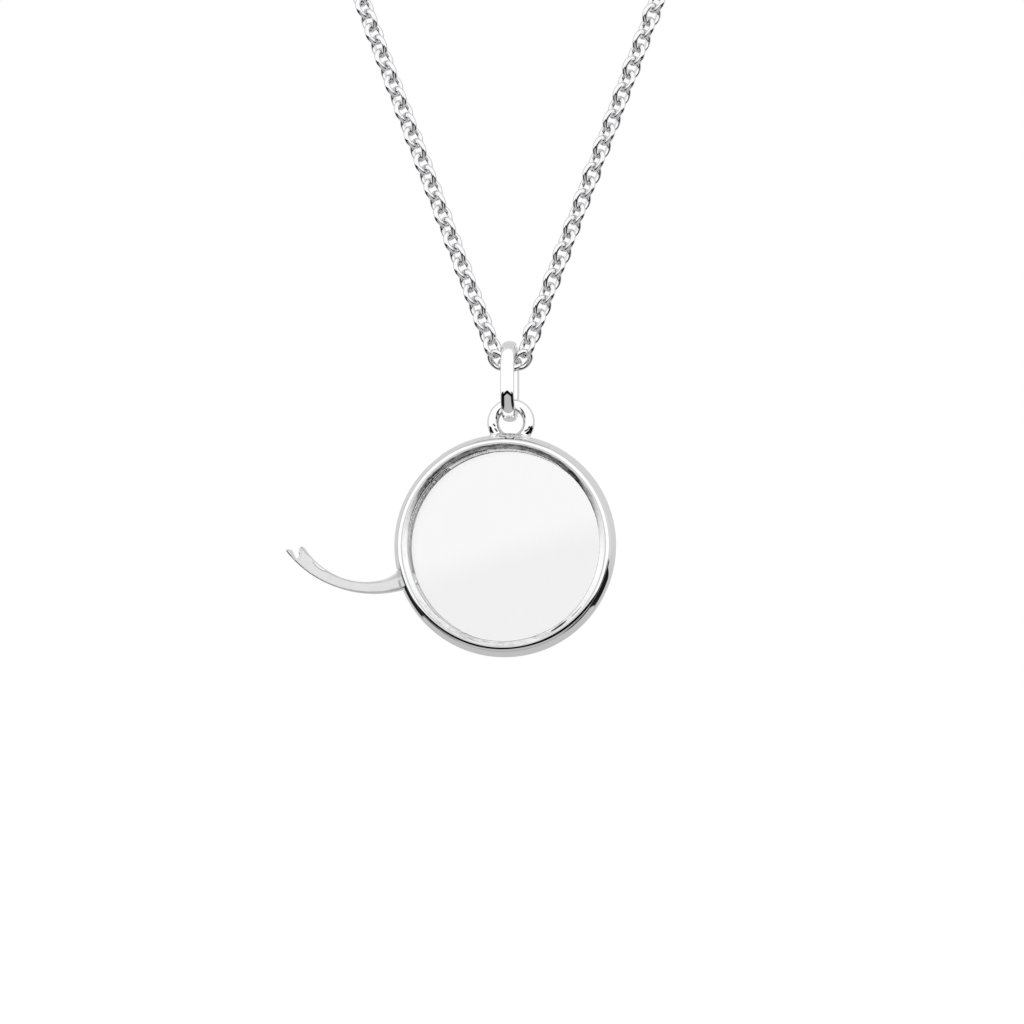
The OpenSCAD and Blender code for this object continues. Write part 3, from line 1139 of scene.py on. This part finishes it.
def gate_painted_shade(gate, case_radius, satin, points):
    """Painted shade of the gate's front and back, by place on the closed gate and turn in degrees.

    Both are satin with a light painted shade all over, painted dark reflections along the rims and outlines,
    painted shade beside the prongs and at the root, and a painted highlight in a bright sliver by the fork.
    """
    sliver_start, sliver_span, sliver_height = 143, 12.5, 0.19
    root_start = 196.9
    arm = gate_arm(gate, case_radius, points)
    half = gate.width / 2
    radius = np.hypot(points[..., 0], points[..., 1])
    turn = np.degrees(np.arctan2(points[..., 1], points[..., 0])) % 360
    # All painted light laid into the colour: painted shade on the faces, by the prongs and at the root, and
    # painted dark reflections along rims and outlines
    face = ramp(np.abs(points[..., 2]), half - 0.12, half - 0.04)
    past_sliver = ramp(turn, 152.5, 155)
    rim = near(arm.inner, 0.1, 0.2) * 0.42 * (0.35 + 0.65 * past_sliver) * near(turn, 184, 191)
    fork = near(turn, 138, 142)
    outline = ramp(arm.body, -0.14, -0.07) * 0.3 * fork
    prong = near(np.abs(arm.mouth - 0.2), 0.02, 0.16) * 0.12 * fork
    # A painted highlight: a bright sliver by the fork clears the shade, with a painted dark line under it
    swell = sliver_height * np.sin(np.pi * np.clip((turn - sliver_start) / sliver_span, 0, 1))
    bright = ramp(swell - arm.inner, -0.02, 0.05) * ramp(arm.inner, 0.03, 0.08) * (swell > 0.02)
    under = near(np.abs(arm.inner - swell - 0.05), 0.03, 0.1) * 0.4 * ramp(swell, 0.02, 0.1)
    root = ramp(turn, 196.3, 197.2) * 0.1
    end = near(np.abs(turn - root_start), 0.3, 0.8) * 0.4
    end = end * ramp(radius, 10.1, 10.3) * near(radius, 10.8, 10.95)
    flare = near(arm.inner, 0.1, 0.22) * ramp(turn, 184, 191) * 0.22
    heel = ramp(turn, 188, 194) * ramp(radius, 10.78, 10.88) * 0.25
    shade = satin + rim + outline + prong + under + root + end + flare + heel
    return face * shade * (1 - bright)


class LOCKET_OT_gate(bpy.types.Operator):
    """Build the gate in its open place"""

    bl_idname = "locket.gate"
    bl_label = "Gate"

    def execute(self, context):
        case = settings(context, "locket_case")
        gate = settings(context, "locket_gate")
        finish = settings(context, "locket_finish")
        radius = case.diameter / 2
        deep = gate.width / 2 + 0.15
        # Box round the closed arm
        low, high = (-radius - 0.3, -5.4, -deep), (-6.2, radius - 1.2, deep)
        points, faces = skin(lambda p: gate_field(gate, radius, p), low, high, step=0.06)
        place = gate_place(case, gate)
        piece = new_piece("gate_arm", points, faces, place)
        close_up(piece)
        smooth(piece)
        # Paints shade, dark reflections and a highlight into the gate's colour
        paint_shade(piece, place, lambda p: gate_painted_shade(gate, radius, finish.satin, p))
        hand_over(piece, gate_silver(context), "gate", "gate")
        return {"FINISHED"}


# The bail

def bar_section(bail):
    """Section of the bar: first number outward from the ring's middle, second across the bar.

    The outer face is a low dome with rounded corners, and the inner face is a half oval.
    """
    half, top = bail.width / 2, bail.thickness / 2
    end_out = top - bail.dome * (1 - math.cos(bail.dome_half))
    end_across = bail.dome * math.sin(bail.dome_half)
    corner = (half - end_across) / (1 - math.sin(bail.dome_half))
    hub = (end_out - corner * math.cos(bail.dome_half), half - corner)
    inner_points = 13
    right = arc((top - bail.dome, 0), bail.dome, 0, bail.dome_half, steps=8)
    right += arc(hub, corner, bail.dome_half, math.pi / 2, steps=8)[1:]
    right += [
        (hub[0] - (top + hub[0]) * math.sin(a) ** bail.lean_in, half * math.cos(a) ** bail.lean_in)
        for a in np.linspace(0, math.pi / 2, inner_points)[1:]
    ]
    return right + [(out, -across) for out, across in right[-2:0:-1]]


class LOCKET_OT_bail(bpy.types.Operator):
    """Build the oval bail"""

    bl_idname = "locket.bail"
    bl_label = "Bail"

    def execute(self, context):
        bail = settings(context, "locket_bail")
        section = bar_section(bail)
        straight = bail.height - bail.depth
        middle_r = (bail.depth - bail.thickness) / 2
        middle_z = bail.top - bail.height / 2
        end_stations = 73
        stations = []
        for start, side in ((0, 1), (math.pi, -1)):
            for a in np.linspace(start, start + math.pi, end_stations):
                stations.append((a, middle_z + side * straight / 2))
        points = []
        for a, hub in stations:
            for out, across in section:
                reach = middle_r + out
                points.append((across, reach * math.cos(a), hub + reach * math.sin(a)))
        faces = grid_faces(len(stations), len(section), True, True)
        piece = new_piece("bail_ring", points, faces, Matrix.Translation(CHAIN_BOTTOM))
        close_up(piece)
        smooth(piece)
        hand_over(piece, plain_silver(context), "bail", "bail")
        return {"FINISHED"}


# The chain

# Right half of the route behind the neck, from the end ring to the top of the front strand
NECK_ROUTE = [
    (4.905, 0, 0), (18, -1, -1), (36, -7, -3), (52, -21, -8), (62, -41, -17), (62, -61, -33),
]

# Heights above the chain's lowest point: the strand's top, and the end of the curve behind the neck
STRAND_TOP = 143
STRAND_LOW = 120

# Steps round a link and round its wire, near the bail and elsewhere
FINE_LINK = (32, 14)
PLAIN_LINK = (14, 6)

# Seed of the links' chance turns
SEED = 7


def smooth_route(points, steps):
    """Points on a smooth curve through a list of places."""
    points = np.array(points, float)
    found = []
    for i in range(len(points) - 1):
        a, b = points[max(i - 1, 0)], points[i]
        c, d = points[i + 1], points[min(i + 2, len(points) - 1)]
        for t in np.arange(steps) / steps:
            found.append(
                0.5 * (2 * b + (c - a) * t + (2 * a - 5 * b + 4 * c - d) * t ** 2
                       + (3 * b - a - 3 * c + d) * t ** 3)
            )
    return found


def chain_route(chain):
    """The chain's centre line, from the end ring round to the clasp, in millimetres."""
    bottom = np.array(CHAIN_BOTTOM) / MM - (0, 0, chain.dip)
    foot = (chain.bend * math.cos(chain.strand), chain.bend * (1 - math.sin(chain.strand)))
    depth = STRAND_TOP * math.tan(chain.strand_lean)

    def strand(height):
        """Place on the right strand at a height above the bend: straight low down, then bowed back."""
        bow = max(0, height - chain.bow_low) / (STRAND_TOP - chain.bow_low)
        return bottom + (foot[0] + (height - foot[1]) * math.tan(chain.strand), depth * bow ** 2, height)

    neck_steps, strand_points, bend_points = 16, 120, 25
    half = smooth_route([*NECK_ROUTE, strand(STRAND_TOP), strand(STRAND_LOW)], neck_steps)
    half += [strand(h) for h in np.linspace(STRAND_LOW, foot[1], strand_points, endpoint=False)]
    half += [
        bottom + (chain.bend * math.sin(a), 0, chain.bend * (1 - math.cos(a)))
        for a in np.linspace(math.pi / 2 - chain.strand, 0, bend_points)
    ]
    half = np.array(half)
    return np.concatenate([half, half[::-1] * (-1, 1, 1)])


def facing_along(route):
    """A vector square to the route at each point, carried without twist from the bail's middle both ways.

    It starts out square to the plane of the two front strands, towards the front.
    """
    ahead = np.gradient(route, axis=0)
    ahead /= np.linalg.norm(ahead, axis=1)[:, None]
    count = len(route)
    start = np.array((0, -1, 0))
    facing = np.zeros_like(route)
    for order in (range(count // 2, count), range(count // 2 - 1, -1, -1)):
        held = start
        for i in order:
            held = held - (held @ ahead[i]) * ahead[i]
            held = held / np.linalg.norm(held)
            facing[i] = held
    return facing


def link_tree():
    """Geometry nodes that hang links along a route: alternate links turn one way and the other."""
    tree = bpy.data.node_groups.new("cable_links", "GeometryNodeTree")
    sockets = [
        ("Route", "NodeSocketGeometry"), ("Links", "NodeSocketInt"), ("First", "NodeSocketInt"),
        ("Last", "NodeSocketInt"), ("Raised", "NodeSocketInt"), ("Lift", "NodeSocketFloat"),
        ("Link Length", "NodeSocketFloat"), ("Link Width", "NodeSocketFloat"),
        ("Wire Diameter", "NodeSocketFloat"), ("Roll", "NodeSocketFloat"), ("Jitter", "NodeSocketFloat"),
        ("Seed", "NodeSocketInt"), ("Link Steps", "NodeSocketInt"), ("Wire Steps", "NodeSocketInt"),
        ("Material", "NodeSocketMaterial"),
    ]
    for name, kind in sockets:
        tree.interface.new_socket(name, in_out="INPUT", socket_type=kind)
    tree.interface.new_socket("Links", in_out="OUTPUT", socket_type="NodeSocketGeometry")
    nodes = Nodes(tree)
    given = nodes.add("NodeGroupInput").outputs
    curve = nodes.add("GeometryNodeMeshToCurve", inputs={"Mesh": given["Route"]})
    even = nodes.add("GeometryNodeResampleCurve", inputs={
        "Curve": curve.outputs[0], "Count": given["Links"],
    })

    number = nodes.add("GeometryNodeInputIndex").outputs[0]
    is_raised = nodes.math("COMPARE", number, given["Raised"], 0.5)
    lift = nodes.add("ShaderNodeCombineXYZ", inputs={2: nodes.product(is_raised, given["Lift"])})
    spots = nodes.add("GeometryNodeSetPosition", inputs={
        "Geometry": even.outputs[0], "Offset": lift.outputs[0],
    })
    parity = nodes.math("MODULO", number, 2.0)
    sign = nodes.math("SUBTRACT", nodes.product(parity, 2.0), 1.0)
    chance = nodes.add(
        "FunctionNodeRandomValue",
        data_type="FLOAT",
        inputs={2: nodes.product(given["Jitter"], -1.0), 3: given["Jitter"], "Seed": given["Seed"]},
    ).outputs[1]
    roll = nodes.total(nodes.product(sign, given["Roll"]), chance)

    ahead = nodes.add("GeometryNodeInputTangent").outputs[0]
    facing = nodes.add(
        "GeometryNodeInputNamedAttribute", data_type="FLOAT_VECTOR", inputs={"Name": "facing"}
    ).outputs[0]
    stand = nodes.add(
        "FunctionNodeAxesToRotation",
        primary_axis="Z",
        secondary_axis="X",
        inputs={"Primary Axis": ahead, "Secondary Axis": facing},
    ).outputs[0]
    twist = nodes.add(
        "FunctionNodeAxisAngleToRotation", inputs={"Axis": (0.0, 0.0, 1.0), "Angle": roll}
    ).outputs[0]
    turned = nodes.add("FunctionNodeRotateRotation", rotation_space="LOCAL")
    nodes.feed(turned.inputs[0], stand)
    nodes.feed(turned.inputs[1], twist)

    circle = nodes.add("GeometryNodeCurvePrimitiveCircle", inputs={
        "Resolution": given["Link Steps"], "Radius": 0.5,
    })
    stretch = nodes.add("ShaderNodeCombineXYZ", inputs={
        0: nodes.math("SUBTRACT", given["Link Width"], given["Wire Diameter"]),
        1: nodes.math("SUBTRACT", given["Link Length"], given["Wire Diameter"]),
        2: 1.0,
    })
    oval = nodes.add("GeometryNodeTransform", inputs={
        "Geometry": circle.outputs[0], "Rotation": (math.pi / 2, 0.0, 0.0), "Scale": stretch.outputs[0],
    })
    wire = nodes.add("GeometryNodeCurvePrimitiveCircle", inputs={
        "Resolution": given["Wire Steps"], "Radius": nodes.product(given["Wire Diameter"], 0.5),
    })
    link = nodes.add("GeometryNodeCurveToMesh", inputs={
        "Curve": oval.outputs[0], "Profile Curve": wire.outputs[0],
    })
    soft = nodes.add("GeometryNodeSetShadeSmooth", inputs={0: link.outputs[0]})

    # Painted shade: each link is darkened on the inner side of its wire towards its ends, where the next link
    # passes through
    position = nodes.add("GeometryNodeInputPosition").outputs[0]
    at_point = nodes.add("ShaderNodeSeparateXYZ", inputs={0: position}).outputs
    sizes = nodes.add("ShaderNodeSeparateXYZ", inputs={0: stretch.outputs[0]}).outputs
    across = nodes.math("DIVIDE", at_point[0], nodes.product(sizes[0], 0.5))
    along = nodes.math("DIVIDE", at_point[2], nodes.product(sizes[1], 0.5))
    inner = nodes.fall(nodes.squares(across, along), 0.55, 0.95)
    at_end = nodes.rise(nodes.math("ABSOLUTE", along), 0.15, 0.55)
    wear_and_shade = nodes.add("GeometryNodeStoreNamedAttribute", data_type="FLOAT", domain="POINT", inputs={
        "Geometry": soft.outputs[0], "Name": "painted_shade", "Value": nodes.product(inner, at_end),
    })

    chosen = nodes.add("FunctionNodeBooleanMath", operation="AND")
    ends = (("GREATER_EQUAL", given["First"]), ("LESS_EQUAL", given["Last"]))
    for socket, (operation, end) in zip(chosen.inputs, ends):
        compared = {2: number, 3: end}
        test = nodes.add("FunctionNodeCompare", data_type="INT", operation=operation, inputs=compared)
        nodes.feed(socket, test.outputs[0])
    hung = nodes.add("GeometryNodeInstanceOnPoints", inputs={
        "Points": spots.outputs[0], "Selection": chosen.outputs[0],
        "Instance": wear_and_shade.outputs[0], "Rotation": turned.outputs[0],
    })
    real = nodes.add("GeometryNodeRealizeInstances", inputs={0: hung.outputs[0]})
    dressed = nodes.add(
        "GeometryNodeSetMaterial", inputs={"Geometry": real.outputs[0], "Material": given["Material"]}
    )
    nodes.add("NodeGroupOutput", inputs={0: dressed.outputs[0]})
    return tree


def hang_links(name, tree, route_mesh, values):
    """One stretch of links as a plain mesh."""
    piece = bpy.data.objects.new(name, route_mesh.copy())
    bpy.context.scene.collection.objects.link(piece)
    modifier = piece.modifiers.new("links", "NODES")
    modifier.node_group = tree
    for item in tree.interface.items_tree:
        if item.in_out == "INPUT" and item.name in values:
            modifier[item.identifier] = values[item.name]
    return baked(piece)


class LOCKET_OT_chain(bpy.types.Operator):
    """Build the cable chain, finely made near the bail and plainer behind the neck"""

    bl_idname = "locket.chain"
    bl_label = "Chain"

    def execute(self, context):
        chain = settings(context, "locket_chain")
        route = chain_route(chain)
        distance = np.linalg.norm(np.diff(route, axis=0), axis=1)
        least_distance = 1e-6
        keep = np.concatenate([[True], distance > least_distance])
        route = route[keep]
        total = distance.sum()
        intervals = 2 * round(total / chain.pitch / 2)
        mesh = bpy.data.meshes.new("route")
        edges = [(i, i + 1) for i in range(len(route) - 1)]
        mesh.from_pydata([tuple(p * MM) for p in route], edges, [])
        layer = mesh.attributes.new("facing", "FLOAT_VECTOR", "POINT")
        layer.data.foreach_set("vector", facing_along(route).ravel())
        tree = link_tree()
        middle_link = intervals // 2
        shared = {
            "Links": intervals + 1,
            "Raised": middle_link,
            "Lift": chain.lift * MM,
            "Link Length": chain.link_length * MM,
            "Link Width": chain.link_width * MM,
            "Wire Diameter": chain.wire * MM,
            "Roll": chain.roll,
            "Jitter": chain.jitter,
            "Seed": SEED,
            "Material": chain_silver(context),
        }
        first, last = middle_link - chain.near, middle_link + chain.near
        stretches = {
            "chain_front": (first, last, *FINE_LINK),
            "chain_right": (0, first - 1, *PLAIN_LINK),
            "chain_left": (last + 1, intervals, *PLAIN_LINK),
        }
        varied = ("First", "Last", "Link Steps", "Wire Steps")
        for name, numbers in stretches.items():
            piece = hang_links(name, tree, mesh, {**shared, **dict(zip(varied, numbers))})
            hand_over(piece, shared["Material"], "chain", "chain")
        bpy.data.meshes.remove(mesh)
        return {"FINISHED"}


# The clasp and the end ring

class LOCKET_OT_clasp(bpy.types.Operator):
    """Build the bolt ring with its eye and knob, and the end ring that it holds"""

    bl_idname = "locket.clasp"
    bl_label = "Clasp"

    def execute(self, context):
        clasp = settings(context, "locket_clasp")
        hub = (clasp.bolt_place, 0, 0)
        eye_x = clasp.bolt_place - clasp.bolt - clasp.bolt_tube - clasp.eye + clasp.eye_sink
        knob_x = clasp.bolt_place + clasp.knob_place
        eye_fillet, knob_fillet = 0.2, 0.15
        # The bolt lies between these turns in degrees, and is thinner than the tube past a short edge
        bolt_start, bolt_end, bolt_edge, bolt_sink = 12, 96, 4, 0.09

        def field(points):
            """Distance from the ring, whose bolt is thinner than its tube, with its eye and knob."""
            x, y, z = (points[..., i] for i in range(3))
            turn = np.degrees(np.arctan2(z, x - hub[0]))
            bolt = np.clip(np.minimum(turn - bolt_start, bolt_end - turn) / bolt_edge, 0, 1)
            reach = np.hypot(x - hub[0], z) - clasp.bolt
            tube = np.hypot(reach, y) - clasp.bolt_tube + bolt_sink * bolt
            eye = ring_field(points, (eye_x, 0, 0), clasp.eye, clasp.eye_wire, 1)
            height = clasp.bolt + clasp.knob_height - clasp.knob
            stem = np.clip(z, clasp.bolt, height)
            knob = np.sqrt((x - knob_x) ** 2 + y ** 2 + (z - stem) ** 2) - clasp.knob
            return blend_min(blend_min(tube, eye, eye_fillet), knob, knob_fillet)

        margin = 0.2
        edge = clasp.bolt + clasp.bolt_tube + margin
        points, faces = skin(
            field,
            (eye_x - clasp.eye - clasp.eye_wire - margin, -clasp.bolt_tube - margin, -edge),
            (hub[0] + edge, clasp.bolt_tube + margin, clasp.bolt + clasp.knob_height + margin),
            step=0.09,
        )
        piece = new_piece("clasp_bolt_ring", points, faces, Matrix.Identity(4))
        close_up(piece)
        smooth(piece)
        hand_over(piece, chain_silver(context), "clasp", "chain")
        around, across = 96, 28
        section = arc((clasp.end, 0), clasp.end_wire, 0, TURN, steps=across)[:-1]
        faces = grid_faces(around, across, True, True)
        place = Matrix.Translation((clasp.end_place * MM, 0, 0))
        ring = new_piece("end_ring_wire", lathe(section, around), faces, place)
        close_up(ring)
        smooth(ring)
        hand_over(ring, chain_silver(context), "end_ring", "chain")
        return {"FINISHED"}


# The stage

# Place that the camera looks at, in millimetres
LOOK_AT = (0.22, -118, -215.05)


def studio_world():
    """A light tent: the camera and the glass see plain white, and the metal mirrors soft panels.

    The front is white above the horizon and grey below it, with a black chevron just under the horizon
    and a dark panel low on each side. The back is light grey, and white straight behind.
    """
    world = bpy.data.worlds.new("light_tent")
    world.use_nodes = True
    nodes = Nodes(world.node_tree)
    ray = nodes.add("ShaderNodeSeparateXYZ")
    nodes.feed(ray.inputs[0], nodes.add("ShaderNodeTexCoord").outputs["Generated"])
    x, y, z = ray.outputs

    # Strength of the light by height, with white straight behind
    front = nodes.between(z, -0.3, 0.02, 0.52, 1.12, True)
    back = nodes.between(z, -0.5, 0.2, 0.56, 0.69, True)
    back = nodes.math("MAXIMUM", back, nodes.between(y, 0.986, 0.991, 0.0, 1.05, True))
    behind = nodes.rise(y, -0.1, 0.1)
    ahead = nodes.math("SUBTRACT", 1.0, behind)

    aside = nodes.math("ABSOLUTE", nodes.total(x, 0.05))
    chevron = nodes.product(
        nodes.fall(nodes.total(z, nodes.product(aside, 0.35)), -0.03, -0.01),
        ahead,
        nodes.rise(nodes.total(z, nodes.product(aside, 0.28)), -0.27, -0.23),
        nodes.fall(aside, 0.74, 0.82),
    )

    # The side panels reach further back between two heights
    reach_back = nodes.product(
        nodes.between(z, -0.24, -0.18, 0.45, 0.0), nodes.between(z, -0.6, -0.5, 0.0, 1.0)
    )
    side = nodes.product(
        nodes.between(nodes.math("ABSOLUTE", x), 0.45, 0.55, 0.0, 0.98, True),
        nodes.rise(z, -0.9, -0.78),
        nodes.fall(z, -0.13, -0.07),
        nodes.rise(y, -0.8, -0.72),
        nodes.fall(nodes.math("SUBTRACT", y, reach_back), -0.02, 0.08),
    )
    dark = nodes.math("MAXIMUM", chevron, side)
    tent = nodes.total(nodes.product(back, behind), nodes.product(front, ahead))
    tent = nodes.product(tent, nodes.math("SUBTRACT", 1.0, dark))

    path = nodes.add("ShaderNodeLightPath").outputs
    straight = nodes.math("LESS_THAN", path["Glossy Depth"], 0.5)
    through = nodes.product(path["Is Transmission Ray"], straight)
    plain = nodes.math("MAXIMUM", path["Is Camera Ray"], through)
    light = nodes.total(plain, nodes.product(tent, nodes.math("SUBTRACT", 1.0, plain)))
    background = nodes.add("ShaderNodeBackground", inputs={"Color": (1, 1, 1, 1), "Strength": light})
    nodes.add("ShaderNodeOutputWorld", inputs={"Surface": background.outputs[0]})
    return world


class LOCKET_OT_stage(bpy.types.Operator):
    """Set up the camera, the pale floor and the soft light"""

    bl_idname = "locket.stage"
    bl_label = "Stage"

    def execute(self, context):
        stage = settings(context, "locket_stage")
        scene = context.scene
        scene.world = studio_world()
        scene.view_settings.view_transform = "Standard"
        target = Vector(LOOK_AT) * MM
        a, e = stage.azimuth, stage.elevation
        back = Vector((math.sin(a) * math.cos(e), -math.cos(a) * math.cos(e), math.sin(e)))
        lens = bpy.data.cameras.new("camera")
        lens.sensor_width = 36
        lens.lens = lens.sensor_width * stage.distance / stage.view_width
        lens.clip_start, lens.clip_end = 0.01, 100
        camera = bpy.data.objects.new("camera", lens)
        camera.location = target + back * stage.distance * MM
        camera.rotation_euler = (-back).to_track_quat("-Z", "Y").to_euler()
        scene.collection.objects.link(camera)
        scene.camera = camera

        half = stage.floor_size / 2
        corners = [(-half, -half), (half, -half), (half, half), (-half, half)]
        floor = new_piece(
            "floor", [(x, y, -stage.floor) for x, y in corners], [(0, 1, 2, 3)], Matrix.Identity(4)
        )
        material, nodes, shader, place = new_material("pale_floor")
        cloud = nodes.noise(place, 3.0, 2.0)
        tone = nodes.mix(cloud, (0.88, 0.88, 0.88, 1), (0.92, 0.92, 0.92, 1))
        nodes.feed(shader.inputs["Base Color"], tone)
        shader.inputs["Roughness"].default_value = 0.9
        shader.inputs["Emission Color"].default_value = (1, 1, 1, 1)
        shader.inputs["Emission Strength"].default_value = 0.5
        floor.data.materials.append(material)
        floor.visible_glossy = False
        return {"FINISHED"}


PIECES = [
    LOCKET_OT_case, LOCKET_OT_loop, LOCKET_OT_glass, LOCKET_OT_pins, LOCKET_OT_gate,
    LOCKET_OT_bail, LOCKET_OT_chain, LOCKET_OT_clasp, LOCKET_OT_stage,
]


class LOCKET_PT_sidebar(bpy.types.Panel):
    """Lists the locket's sizes and the operators that build it"""

    bl_idname = "LOCKET_PT_sidebar"
    bl_label = "Floating locket"
    bl_space_type = "VIEW_3D"
    bl_region_type = "UI"
    bl_category = "Locket"

    def draw(self, context):
        for piece in PIECES:
            self.layout.operator(piece.bl_idname, text=piece.bl_label)
        for name, group in SETTINGS.items():
            box = self.layout.box()
            box.label(text=group.__doc__)
            for key in group.__annotations__:
                box.prop(getattr(context.scene, name), key)


CLASSES = [*SETTINGS.values(), *PIECES, LOCKET_PT_sidebar]


def register():
    """Adds the classes, and the sizes of each piece to every scene."""
    for item in CLASSES:
        bpy.utils.register_class(item)
    for name, group in SETTINGS.items():
        setattr(bpy.types.Scene, name, bpy.props.PointerProperty(type=group))


def unregister():
    """Takes away what register adds."""
    for name in SETTINGS:
        delattr(bpy.types.Scene, name)
    for item in reversed(CLASSES):
        bpy.utils.unregister_class(item)


def main():
    """Builds every piece and the stage."""
    register()
    for piece in PIECES:
        group, name = piece.bl_idname.split(".")
        getattr(getattr(bpy.ops, group), name)()


if __name__ == "__main__":
    main()
